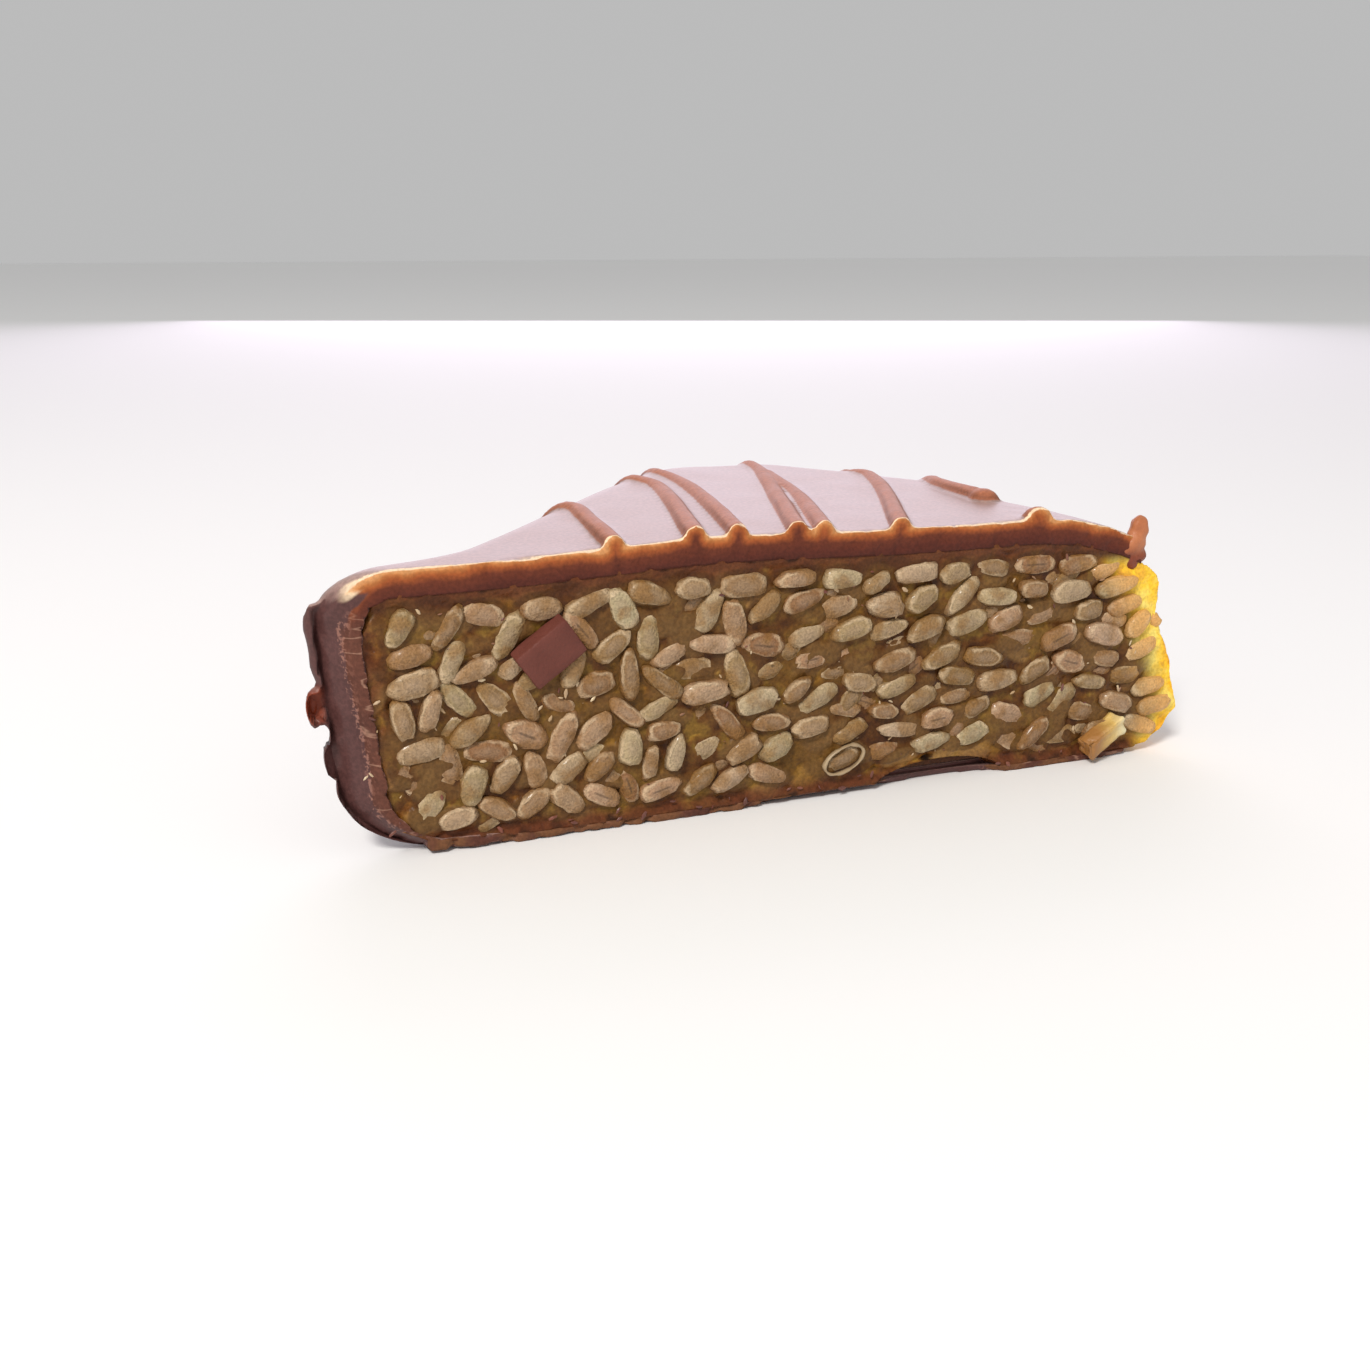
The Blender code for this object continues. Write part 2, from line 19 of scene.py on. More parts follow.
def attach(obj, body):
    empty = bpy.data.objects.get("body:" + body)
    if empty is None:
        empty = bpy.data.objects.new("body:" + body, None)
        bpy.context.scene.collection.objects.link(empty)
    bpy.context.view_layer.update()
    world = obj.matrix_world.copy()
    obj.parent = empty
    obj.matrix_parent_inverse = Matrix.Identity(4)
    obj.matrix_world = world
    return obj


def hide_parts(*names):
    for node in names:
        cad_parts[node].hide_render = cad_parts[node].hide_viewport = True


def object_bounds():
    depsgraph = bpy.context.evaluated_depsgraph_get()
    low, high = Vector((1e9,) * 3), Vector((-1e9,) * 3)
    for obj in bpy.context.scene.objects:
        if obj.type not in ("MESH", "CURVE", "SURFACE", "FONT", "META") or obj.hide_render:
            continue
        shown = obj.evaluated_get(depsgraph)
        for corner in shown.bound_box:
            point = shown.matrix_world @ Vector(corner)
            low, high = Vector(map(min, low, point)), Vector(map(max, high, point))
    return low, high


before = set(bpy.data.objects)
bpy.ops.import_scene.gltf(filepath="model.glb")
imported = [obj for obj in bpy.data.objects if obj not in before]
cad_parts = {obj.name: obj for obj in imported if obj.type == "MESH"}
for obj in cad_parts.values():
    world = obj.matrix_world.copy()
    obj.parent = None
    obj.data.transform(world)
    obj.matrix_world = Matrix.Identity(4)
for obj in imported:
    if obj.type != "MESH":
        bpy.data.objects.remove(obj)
cad_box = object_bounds()
MM = 0.001
# The cut's middle on the floor, in millimetres, in the frame of the packed model.
CUT_MIDDLE = np.array((-1.196, -14.577, 0.0))
print("nodes", sorted(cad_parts))

# %% [markdown]
# ## Camera first
#
# The camera decides which details matter, so it is placed before anything is modelled. The cut
# in the photograph gives four corners of a rectangle, and the way its edges run together gives
# the camera's height, turn and distance. It stands to the left and looks down a little.

# %% Camera
CAMERA_PLACE = np.array((-35.84, -77.85, 34.34))
CAMERA_DOWN = 17.16
CAMERA_TURN = 20.85
LENS = 38.29

view = bpy.data.cameras.new("view")
view.lens = LENS
view.sensor_width = 36.0
view.clip_start = 0.005
camera = bpy.data.objects.new("view", view)
bpy.context.scene.collection.objects.link(camera)
camera.location = (CAMERA_PLACE + CUT_MIDDLE) * MM
camera.rotation_euler = (math.radians(90 - CAMERA_DOWN), 0.0, math.radians(-CAMERA_TURN))
bpy.context.scene.camera = camera
print("camera at", [round(v, 4) for v in camera.location])

# %% [markdown]
# ## Floor and soft studio light
#
# Chocolate is dark and shows its form mostly by what it reflects. A broad pale light behind the
# snap is mirrored in its top, and a gentle one in front opens up the seeds.

# %% Floor and lights
FLOOR_SIDE, FLOOR_COLOUR, FLOOR_ROUGHNESS = 4.0, (0.93, 0.925, 0.92, 1.0), 0.9
LIGHT_AIM = (0.0, 0.0, 0.01)
SKY_STRENGTH = 0.5

bpy.ops.object.select_all(action="DESELECT")
bpy.ops.mesh.primitive_plane_add(size=FLOOR_SIDE, location=(0, 0, 0))
floor = bpy.context.object
floor.name = "floor"
paper = bpy.data.materials.new("floor_paper")
paper.use_nodes = True
paper.node_tree.nodes["Principled BSDF"].inputs["Base Color"].default_value = FLOOR_COLOUR
paper.node_tree.nodes["Principled BSDF"].inputs["Roughness"].default_value = FLOOR_ROUGHNESS
floor.data.materials.append(paper)


def soft_light(name, spot, size, power, colour):
    """Put a square soft light at a spot and turn it to the snap."""
    data = bpy.data.lights.new(name, "AREA")
    data.size = size
    data.energy = power
    data.color = colour
    lamp = bpy.data.objects.new(name, data)
    bpy.context.scene.collection.objects.link(lamp)
    lamp.location = spot
    lamp.rotation_euler = (Vector(LIGHT_AIM) - Vector(spot)).to_track_quat("-Z", "Y").to_euler()
    lamp.visible_camera = False


soft_light("sky_behind", (0.16, 0.42, 0.2), 0.42, 0.7, (0.92, 0.8, 0.97))
soft_light("front_key", (-0.26, -0.3, 0.4), 0.12, 2.3, (1.0, 0.97, 0.92))
sky = bpy.data.worlds.new("studio")
sky.use_nodes = True
sky.node_tree.nodes["Background"].inputs["Color"].default_value = (1.0, 1.0, 1.0, 1)
sky.node_tree.nodes["Background"].inputs["Strength"].default_value = SKY_STRENGTH
bpy.context.scene.world = sky
bpy.context.scene.view_settings.view_transform = "Standard"

# %% [markdown]
# ## The snap's own sizes
#
# The whole snap was a block with rounded corners. These numbers are its plan, its wall profile
# and the swell and droop of its top, and they are the same ones that the solids were built
# from, so the dressed pieces lie exactly where the solids are. They are in millimetres, and X
# starts at the middle of the cut.

# %% Plan and profile
PLAN = (
    (-18.6, -7.0, 3.0),
    (23.0, -7.0, 3.0),
    (29.9, 0.4, 1.6),
    (21.7, 7.7, 3.2),
    (22.3, 15.8, 4.0),
    (12.6, 30.2, 5.0),
    (2.2, 30.0, 7.0),
    (-20.0, 4.8, 9.0),
    (-29.4, 2.3, 1.7),
)
CORNER_STEPS = 9
EDGE_LENGTH = 1.1
PLAN_CENTRE = (0.0, 3.0)
SMALLEST_RADIUS = 0.5
BASE_RADIUS = 2.6
WALL_LEAN = 0.7
LEAN_FADE = ((2.6, 1.0), (4.5, 0.95), (6.3, 0.8), (8.4, 0.5), (10.6, 0.18), (12.6, 0.0))
BELLY_HEIGHT = 12.6
SHOULDER_RADIUS = 2.7
ARC_STEPS = 9
TOP_HEIGHT = 17.0
SWELL_HEIGHT, SWELL_CENTRE, SWELL_WIDTH = 0.45, -4.0, 9.0
DROOP_START, DROOP_RATE = 18.0, 0.028
LEFT_DROOP_START, LEFT_DROOP_RATE = -23.5, 0.055
BASE_LIFT_START, BASE_LIFT_RATE = -19.5, 0.034
TOP_COAT, WALL_COAT, BASE_COAT, GAP = 1.6, 1.1, 0.75, 0.3
CAVITY_RADIUS = 1.0
CAVITY_FOOT = ((0.0, 1.8), (0.5, 0.8), (1.8, 0.0))
CAVITY_LIP = ((1.0, 0.15), (0.4, 0.4), (0.0, 1.0))


def plan_ring(inset):
    """Return the plan moved inwards by the inset, always with the same count of points."""
    corners = [Vector(corner[:2]) for corner in PLAN]
    count = len(corners)
    moved, turns = [], []
    for index in range(count):
        before = (corners[index] - corners[index - 1]).normalized()
        after = (corners[(index + 1) % count] - corners[index]).normalized()
        turn = math.atan2(before.cross(after), before.dot(after))
        normal = Vector((-before.y - after.y, before.x + after.x)).normalized()
        moved.append(corners[index] + normal * inset / math.cos(turn / 2))
        turns.append(turn)
    arcs = []
    for index in range(count):
        before = (moved[index] - moved[index - 1]).normalized()
        radius = max(PLAN[index][2] - (inset if turns[index] > 0 else -inset), SMALLEST_RADIUS)
        reach = radius * math.tan(abs(turns[index]) / 2)
        start = moved[index] - before * reach
        side = Vector((-before.y, before.x)) * math.copysign(radius, turns[index])
        arc = []
        for step in range(CORNER_STEPS + 1):
            angle = turns[index] * step / CORNER_STEPS
            cos, sin = math.cos(angle), math.sin(angle)
            spoke = -side
            arc.append(start + side + Vector((spoke.x * cos - spoke.y * sin,
                                              spoke.x * sin + spoke.y * cos)))
        arcs.append(arc)
    ring = []
    for index in range(count):
        ring.extend(arcs[index])
        start, end = arcs[index][-1], arcs[(index + 1) % count][0]
        steps = max(2, round((corners[(index + 1) % count] - corners[index]).length / EDGE_LENGTH))
        ring.extend(start.lerp(end, step / steps) for step in range(1, steps))
    return ring


def top_offset(x):
    """Return how far the top stands above its flat height at X."""
    swell = SWELL_HEIGHT * np.exp(-((x - SWELL_CENTRE) / SWELL_WIDTH) ** 2)
    right = DROOP_RATE * np.clip(x - DROOP_START, 0.0, None) ** 2
    left = LEFT_DROOP_RATE * np.clip(LEFT_DROOP_START - x, 0.0, None) ** 2
    return swell - right - left


def base_offset(x):
    """Return how far the underside is lifted at X."""
    return BASE_LIFT_RATE * np.clip(BASE_LIFT_START - x, 0.0, None) ** 2


def body_profile():
    """Return height and inset of the coat's rings, from the base up to the shoulder."""
    rings = []
    for step in range(ARC_STEPS):
        angle = math.pi / 2 * step / ARC_STEPS
        rings.append((BASE_RADIUS * (1 - math.cos(angle)),
                      WALL_LEAN + BASE_RADIUS * (1 - math.sin(angle))))
    rings += [(height, WALL_LEAN * share) for height, share in LEAN_FADE]
    for step in range(1, ARC_STEPS + 1):
        angle = math.pi / 2 * step / ARC_STEPS
        rings.append((TOP_HEIGHT - SHOULDER_RADIUS * (1 - math.sin(angle)),
                      SHOULDER_RADIUS * (1 - math.cos(angle))))
    return rings


def cavity_profile(gap):
    """Return height and inset of the rings of the room for the filling, less the gap."""
    wall, low, high = WALL_COAT + gap, BASE_COAT + gap, TOP_HEIGHT - TOP_COAT - gap
    rings = [(low + rise, WALL_LEAN + wall + inset) for rise, inset in CAVITY_FOOT]
    rings.append((BELLY_HEIGHT, wall))
    return rings + [(high - CAVITY_RADIUS * drop, wall + inset) for drop, inset in CAVITY_LIP]


print("points round the plan", len(plan_ring(0.0)))

# %% [markdown]
# ## Raising a body ring by ring
#
# A rounded block with a changing wall is easiest to raise like a pot: a circle is laid on the
# first ring of the plan, then extruded upwards again and again, and each new ring is laid on
# its own height and inset. A hidden number on each point remembers its place in the ring, and
# extrusion copies it, so no point gets lost.

# %% Raising a body
BASE_SCALES = (0.02, 0.3, 0.6, 0.85)
TOP_SCALES = (0.93, 0.82, 0.7, 0.56, 0.42, 0.28, 0.14, 0.02)


def deselect_all():
    """Leave edit mode and select nothing."""
    if bpy.context.object and bpy.context.object.mode != "OBJECT":
        bpy.ops.object.mode_set(mode="OBJECT")
    bpy.ops.object.select_all(action="DESELECT")


def body_rings(profile):
    """Return the rings of a body as lists of points, closed nearly to a point at both ends."""
    low, low_inset = profile[0]
    high, high_inset = profile[-1]
    centre = Vector(PLAN_CENTRE)
    flat = [([centre.lerp(p, scale) for p in plan_ring(low_inset)], low) for scale in BASE_SCALES]
    flat += [(plan_ring(inset), height) for height, inset in profile]
    flat += [([centre.lerp(p, scale) for p in plan_ring(high_inset)], high) for scale in TOP_SCALES]
    rings = []
    for ring, height in flat:
        share = (height - low) / (high - low)
        rings.append([Vector((p.x, p.y, height + top_offset(p.x) * share
                              + base_offset(p.x) * (1 - share))) for p in ring])
    return rings


def place(point):
    """Turn a point in the snap's own millimetres into the frame's metres."""
    return (Vector(point) + Vector(CUT_MIDDLE)) * MM


def raise_body(name, rings):
    """Lay a circle on the first ring, extrude it through the others and close both ends."""
    deselect_all()
    bpy.ops.mesh.primitive_circle_add(vertices=len(rings[0]), radius=10 * MM)
    body = bpy.context.object
    body.name = name
    turns = body.data.attributes.new("turn", "INT", "POINT")
    turns.data.foreach_set("value", np.arange(len(rings[0]), dtype=np.int32))
    body.data.attributes.new("level", "INT", "POINT")
    bpy.ops.object.mode_set(mode="EDIT")
    for index, ring in enumerate(rings):
        if index:
            bpy.ops.mesh.extrude_region_move(TRANSFORM_OT_translate={"value": (0, 0, MM)})
        work = bmesh.from_edit_mesh(body.data)
        turn, level = work.verts.layers.int["turn"], work.verts.layers.int["level"]
        for vert in work.verts:
            if vert.select:
                vert.co = place(ring[vert[turn]])
                vert[level] = index
        bmesh.update_edit_mesh(body.data)
    bpy.ops.mesh.merge(type="CENTER")
    work = bmesh.from_edit_mesh(body.data)
    level = work.verts.layers.int["level"]
    for vert in work.verts:
        vert.select = vert[level] == 0
    work.select_flush(True)
    bmesh.update_edit_mesh(body.data)
    bpy.ops.mesh.merge(type="CENTER")
    bpy.ops.mesh.select_all(action="SELECT")
    bpy.ops.mesh.normals_make_consistent(inside=False)
    bpy.ops.object.mode_set(mode="OBJECT")
    settle(body)
    return body


def settle(piece):
    """Move a piece's place into its mesh, so its object sits at the origin."""
    piece.data.transform(piece.matrix_world)
    piece.matrix_world.identity()
    piece.location = (0, 0, 0)


coat = raise_body("coat", body_rings(body_profile()))
print("coat body", len(coat.data.vertices), "points")

# %% [markdown]
# ## Drizzle and small lumps
#
# Thin lines of chocolate were run over the top from side to side, and they hang a little way
# down the back. Each line is a round bead raised along its path in the same way as the body.
# Its path is laid on the body's skin, so the bead follows the shoulder without being bent by
# hand. The few lumps are spheres pressed to their own shape.

# %% Drizzle
DRIZZLE = (
    ((-10.7, -1.5, 19), (-9.5, 9, 19), (-9.3, 12.5, 19), (-10.8, 15, 18), (-12.8, 16, 15.5),
     (-14.8, 16, 11), (-16, 15.5, 7)),
    ((-5.9, -1.5, 19), (-1.9, 15, 19), (-1.5, 20.5, 19), (-3.4, 24.5, 18), (-5.6, 26, 14.5),
     (-7.5, 26, 10), (-9, 25, 6.5)),
    ((-3.1, -1.5, 19), (0.2, 14, 19), (1.1, 22.5, 19), (0, 27.5, 18.5), (-1.8, 31, 15),
     (-3, 32, 10), (-4, 31, 6)),
    ((0.6, -1.5, 19), (7.2, 18, 19), (9.6, 26, 19), (9.6, 31, 18.5), (8.2, 33.5, 14),
     (6.8, 33, 9), (6.2, 33, 5.5)),
    ((2.4, -1.5, 19), (7.3, 13.5, 19), (9.3, 23.5, 19)),
    ((7.4, -1.5, 19), (13.8, 13, 19), (16.4, 20.5, 19), (17.3, 24.5, 18.5), (17.5, 27, 14.5),
     (16, 28.5, 10), (15.4, 29, 7)),
    ((18.5, 7.6, 19), (18.7, 12, 19), (19.4, 15.5, 19), (22, 19, 18), (24.5, 19, 13),
     (25, 18, 9)),
)
RUN_DOWN, RUN_DOWN_TAPER = ((-29.0, 1.0, 16.5), (-31.0, 1.9, 13.0), (-30.5, 1.7, 9.5)), 0.22
DRIZZLE_RADIUS, DRIZZLE_RISE, DRIZZLE_SINK = 0.66, 0.12, 0.4
DRIZZLE_SINK_RATE = 1.6
TIP_ROUNDNESS = 0.05
DRIZZLE_STEP = 0.45
BEAD_SIDES = 14
LUMPS = (
    ((18.6, 7.6, 17.1), (0.95, 1.0, 0.65)),
    ((18.2, 0.5, 17.0), (1.0, 0.9, 0.75)),
    ((-27.7, 1.4, 9.2), (0.55, 0.75, 1.25)),
    ((-27.0, 1.1, 6.0), (0.5, 0.6, 1.0)),
)


def smooth_path(points, step):
    """Return points at an even step on a soft curve past the given ones."""
    given = [Vector(point) for point in points]
    padded = [given[0] * 2 - given[1], *given, given[-1] * 2 - given[-2]]
    path = []
    for index in range(1, len(padded) - 2):
        a, b, c, d = padded[index - 1:index + 3]
        count = max(1, round((c - b).length / step))
        for part in range(count):
            t = part / count
            path.append(0.5 * (2 * b + (c - a) * t + (2 * a - 5 * b + 4 * c - d) * t * t
                               + (3 * b - 3 * c + d - a) * t ** 3))
    path.append(given[-1])
    return path


def bead_rings(body, line, taper=1.0):
    """Return the rings of a bead laid along a line on the body's skin, with tapered ends."""
    laid = []
    for point in smooth_path(line, DRIZZLE_STEP):
        _, spot, normal, _ = body.closest_point_on_mesh(place(point))
        laid.append((Vector(spot) / MM - Vector(CUT_MIDDLE), normal.normalized()))
    rings = []
    count = len(laid)
    for index, (spot, normal) in enumerate(laid):
        rise = DRIZZLE_RISE - DRIZZLE_SINK * min(1.0, DRIZZLE_SINK_RATE * index / count)
        end = min(index, count - 1 - index) * DRIZZLE_STEP / DRIZZLE_RADIUS
        radius = DRIZZLE_RADIUS * math.sqrt(1 - max(0.0, 1 - end * taper - TIP_ROUNDNESS) ** 2)
        ahead = laid[min(index + 2, count - 1)][0] - laid[max(index - 2, 0)][0]
        across = ahead.normalized().cross(normal).normalized()
        up = across.cross(ahead.normalized()).normalized()
        rings.append([spot + normal * rise + (across * math.cos(a) + up * math.sin(a)) * radius
                      for a in np.arange(BEAD_SIDES) * 2 * math.pi / BEAD_SIDES])
    return rings


def ellipsoid(name, centre, radii, segments=32, ring_count=20):
    """Make a sphere pressed to three radii."""
    deselect_all()
    bpy.ops.mesh.primitive_uv_sphere_add(segments=segments, ring_count=ring_count, radius=MM)
    body = bpy.context.object
    body.name = name
    bpy.ops.transform.resize(value=radii)
    body.location = place(centre)
    bpy.ops.object.transform_apply(location=True, rotation=False, scale=True)
    return body


beads = [raise_body(f"bead_{index}", bead_rings(coat, line)) for index, line in enumerate(DRIZZLE)]
beads.append(raise_body("run_down", bead_rings(coat, RUN_DOWN, RUN_DOWN_TAPER)))
beads += [ellipsoid(f"lump_{index}", *lump, 24, 16) for index, lump in enumerate(LUMPS)]
print("beads and lumps", len(beads))

# %% [markdown]
# ## Joining and cutting
#
# The beads are joined to the body first. Then the front half is cut away in one flat cut, as a
# knife does it. At the right end the coat broke off with the filling, and a chip is missing
# from the bottom edge. The tools for this are convex bodies and blocks that reach well past
# the snap. The uncut skin is remembered, because later on the colour depends on how deep below
# that skin a point lies.

# %% Joining and cutting
BREAK_SECTION = ((21.0, 1.1), (27.4, 1.0), (29.6, 1.6), (30.6, 3.0), (29.8, 6.0),
                 (28.3, 9.4), (27.4, 11.9), (25.9, 13.4), (21.0, 13.7))
BREAK_DEPTH, BREAK_TAPER, BREAK_CLEAR = 3.4, 0.78, 1.0
BREAK_CENTRE = (22.0, 6.5)
TORN_EDGE = ((26.1, -3.0), (26.4, 0.8), (27.3, 2.9), (33.0, 6.0), (33.0, -3.0))
TORN_HEIGHTS, TORN_TOP_HEIGHTS, TORN_TOP_SHIFT = (-1.0, 14.9), (14.0, 15.1), 0.9
CHIP_X, CHIP_RADII, CHIP_BACK = 11.8, (4.9, 2.4, 1.6), 1.1
WORN_X, WORN_RADII = 4.5, (6.5, 1.2, 0.4)
ALONG, UPWARDS, IN_FRONT = (-60.0, 60.0), (-30.0, 60.0), -2.0


def body_from(name, spots, faces=()):
    """Make a body from points in the snap's own millimetres and the faces between them."""
    mesh = bpy.data.meshes.new(name)
    mesh.from_pydata([place(spot) for spot in spots], [], faces)
    body = bpy.data.objects.new(name, mesh)
    bpy.context.scene.collection.objects.link(body)
    return body


def hull(name, points):
    """Make the convex body round a set of points."""
    body = body_from(name, points)
    deselect_all()
    bpy.context.view_layer.objects.active = body
    body.select_set(True)
    bpy.ops.object.mode_set(mode="EDIT")
    bpy.ops.mesh.select_all(action="SELECT")
    bpy.ops.mesh.convex_hull()
    bpy.ops.mesh.select_all(action="SELECT")
    bpy.ops.mesh.normals_make_consistent(inside=False)
    bpy.ops.object.mode_set(mode="OBJECT")
    return body


def block(name, x, y, z):
    """Make a box between the given limits."""
    return hull(name, [(a, b, c) for a in x for b in y for c in z])


def combine(target, operation, tools):
    """Join tools to a body or cut them out of it, one after the other, and drop them."""
    for tool in tools:
        change = target.modifiers.new(operation.title(), "BOOLEAN")
        change.operation = operation
        change.solver = "MANIFOLD"
        change.object = tool
        bpy.context.view_layer.objects.active = target
        bpy.ops.object.modifier_apply(modifier=change.name)
        bpy.data.objects.remove(tool)


def break_points(clear):
    """Return the points round the broken end, grown by a factor about its middle."""
    points = []
    for x, z in BREAK_SECTION:
        wide = BREAK_CENTRE[0] + (x - BREAK_CENTRE[0]) * clear
        tall = BREAK_CENTRE[1] + (z - BREAK_CENTRE[1]) * clear
        points += [(wide, IN_FRONT, tall), (wide, BREAK_DEPTH * 0.4, tall)]
        points.append((BREAK_CENTRE[0] + (wide - BREAK_CENTRE[0]) * BREAK_TAPER,
                       BREAK_DEPTH + (clear - 1) * 5,
                       BREAK_CENTRE[1] + (tall - BREAK_CENTRE[1]) * BREAK_TAPER))
    return points


def tree_of(body):
    """Return a search tree over a body's faces."""
    body.data.calc_loop_triangles()
    spots = [vert.co.copy() for vert in body.data.vertices]
    return BVHTree.FromPolygons(spots, [tuple(t.vertices) for t in body.data.loop_triangles])


plain_skin = tree_of(coat)
combine(coat, "UNION", beads)
outer_skin = tree_of(coat)
cuts = [
    hull("break", break_points(BREAK_CLEAR)),
    hull("torn", [(x, y, z) for x, y in TORN_EDGE for z in TORN_HEIGHTS]),
    hull("torn_top", [(x + TORN_TOP_SHIFT, y, z) for x, y in TORN_EDGE for z in TORN_TOP_HEIGHTS]),
    block("front_half", ALONG, (-40.0, 0.0), UPWARDS),
    ellipsoid("chip", (CHIP_X, 0, 0), (CHIP_RADII[0], CHIP_BACK, CHIP_RADII[2])),
    ellipsoid("worn", (WORN_X, 0, 0), WORN_RADII),
]
combine(coat, "DIFFERENCE", cuts)
print("coat after the cuts", len(coat.data.vertices), "points")

# %% [markdown]
# ## One even skin
#
# The cuts leave long thin faces that shade badly. A voxel remesh lays a fresh, even skin over
# the whole body and softens the crease beside each bead, as molten chocolate does. A little
# smoothing takes away the marks of the voxels. The room for the filling is taken out last: its
# walls are hidden, so they may stay coarse, and the fine faces are kept for what shows.

# %% One even skin
VOXEL = 0.23
SMOOTH_ROUNDS = 2


def apply_modifier(body, kind, **settings):
    """Give a body a modifier and apply it."""
    change = body.modifiers.new(kind.title(), kind)
    for name, value in settings.items():
        setattr(change, name, value)
    bpy.context.view_layer.objects.active = body
    bpy.ops.object.modifier_apply(modifier=change.name)


def keep_largest(body):
    """Drop loose scraps, keeping the largest connected part."""
    work = bmesh.new()
    work.from_mesh(body.data)
    unseen = set(work.verts)
    islands = []
    while unseen:
        front = [unseen.pop()]
        island = list(front)
        while front:
            for edge in front.pop().link_edges:
                for vert in edge.verts:
                    if vert in unseen:
                        unseen.remove(vert)
                        front.append(vert)
                        island.append(vert)
        islands.append(island)
    islands.sort(key=len)
    for island in islands[:-1]:
        bmesh.ops.delete(work, geom=island, context="VERTS")
    work.to_mesh(body.data)
    work.free()
    return len(islands)


def read_points(body):
    """Return a body's points and their normals, the points in the snap's own millimetres."""
    mesh = body.data
    count = len(mesh.vertices)
    spots, normals = np.empty(count * 3), np.empty(count * 3)
    mesh.vertices.foreach_get("co", spots)
    mesh.vertex_normals.foreach_get("vector", normals)
    return spots.reshape(-1, 3) / MM - CUT_MIDDLE, normals.reshape(-1, 3)


def write_points(body, spots):
    """Put points given in the snap's own millimetres back into a body."""
    body.data.vertices.foreach_set("co", ((spots + CUT_MIDDLE) * MM).ravel())
    body.data.update()


apply_modifier(coat, "REMESH", mode="VOXEL", voxel_size=VOXEL * MM)
apply_modifier(coat, "SMOOTH", factor=0.5, iterations=SMOOTH_ROUNDS)
print("coat skin", len(coat.data.polygons) * 2, "triangles")

# %% [markdown]
# ## Wear on the chocolate
#
# A poured coat is never quite even. Its top waves a little, its left wall ran down in soft
# folds, and the knife crumbled the thin edge of the cut. Each of these is a small move along
# the skin's own normal, taken from smooth noise at the size of the real mark.

# %% Wear on the chocolate
WAVE, FOLD, SIDE_WAVE = 0.05, 0.2, 0.12
CRUMBLE, BASE_CRUMBLE, RIM_ROUGHNESS, RIM_WIDTH = 0.16, 0.35, 0.03, 0.35
SOFT_EDGE = 1.1
FOOT_ROOM = ((-19.0, 0.85), (-16.0, 0.5), (27.2, 0.42), (27.2, 1.1), (-19.0, 1.1))


def soft_noise(spots, size, seed=0.0):
    """Return smooth noise between about -1 and 1 at points, with marks of the given size."""
    scaled = spots / np.asarray(size) + seed
    return np.array([noise.noise(row) for row in scaled])


def ramp(values, low, high):
    """Return 0 below low, 1 above high and a soft step between them."""
    share = np.clip((values - low) / (high - low), 0.0, 1.0)
    return share * share * (3 - 2 * share)


def distance_to(tree, spots):
    """Return each point's distance from a skin in millimetres."""
    return np.array([tree.find_nearest(place(spot))[3] / MM for spot in spots])


spots, normals = read_points(coat)
# Low waves on the top, folds down the left wall and broad waves round the other walls.
wave = WAVE * soft_noise(spots, 4.0, 3.1) * ramp(normals[:, 2], 0.0, 0.8)
left = ramp(-spots[:, 0], 24.0, 27.0) * ramp(spots[:, 1], 0.1, 0.6)
fold = FOLD * left * (soft_noise(spots, (2.2, 2.6, 1.3), 8.0) - 0.35)
side = ramp(spots[:, 1], 0.3, 2.0) * (1 - ramp(np.abs(normals[:, 2]), 0.3, 0.8))
fold += SIDE_WAVE * side * soft_noise(spots, (5.0, 5.0, 9.0), 2.0)
# The rim of the cut crumbles, most of all along the base.
rim = np.exp(-(spots[:, 1] / RIM_WIDTH) ** 2)
crumble = -CRUMBLE * rim * ramp(soft_noise(spots, 0.7, 5.0), 0.0, 0.7)
base = (1 - ramp(spots[:, 2], 0.3, 1.6)) * ramp(-spots[:, 0], -16.0, -2.0)
crumble -= BASE_CRUMBLE * rim * base * ramp(soft_noise(spots, 0.8, 11.0), -0.1, 0.5)
rough = RIM_ROUGHNESS * soft_noise(spots, 0.45, 7.0) * rim
spots = spots + normals * (wave + fold + crumble + rough)[:, None]
# At the left end the coat bends back from the cut, the more so the nearer it is to the skin.
near_left = np.flatnonzero((spots[:, 0] < -22.0) & (spots[:, 1] < 1.0) & (spots[:, 2] < 16.0))
under_skin = distance_to(outer_skin, spots[near_left])
upper = 1 - ramp(spots[near_left, 2], 13.0, 16.0)
spots[near_left, 1] += SOFT_EDGE * upper * (1 - ramp(under_skin, 0.0, 1.15)) ** 1.5
# Nothing leaves the packed box or comes in front of the cut, and the room is taken out.
low, high = (np.array(corner) / MM - CUT_MIDDLE for corner in cad_box)
spots = np.clip(spots, low, high)
spots[:, 1] = np.maximum(spots[:, 1], 0.0)
write_points(coat, spots)
thin_foot = [(x, y, z) for x, z in FOOT_ROOM for y in (IN_FRONT, 1.2)]
room = raise_body("room", body_rings(cavity_profile(0.0)))
combine(coat, "DIFFERENCE", [room, hull("thin_foot", thin_foot)])
print("hollowed coat in", keep_largest(coat), "islands,",
      sum(len(face.vertices) - 2 for face in coat.data.polygons), "triangles")
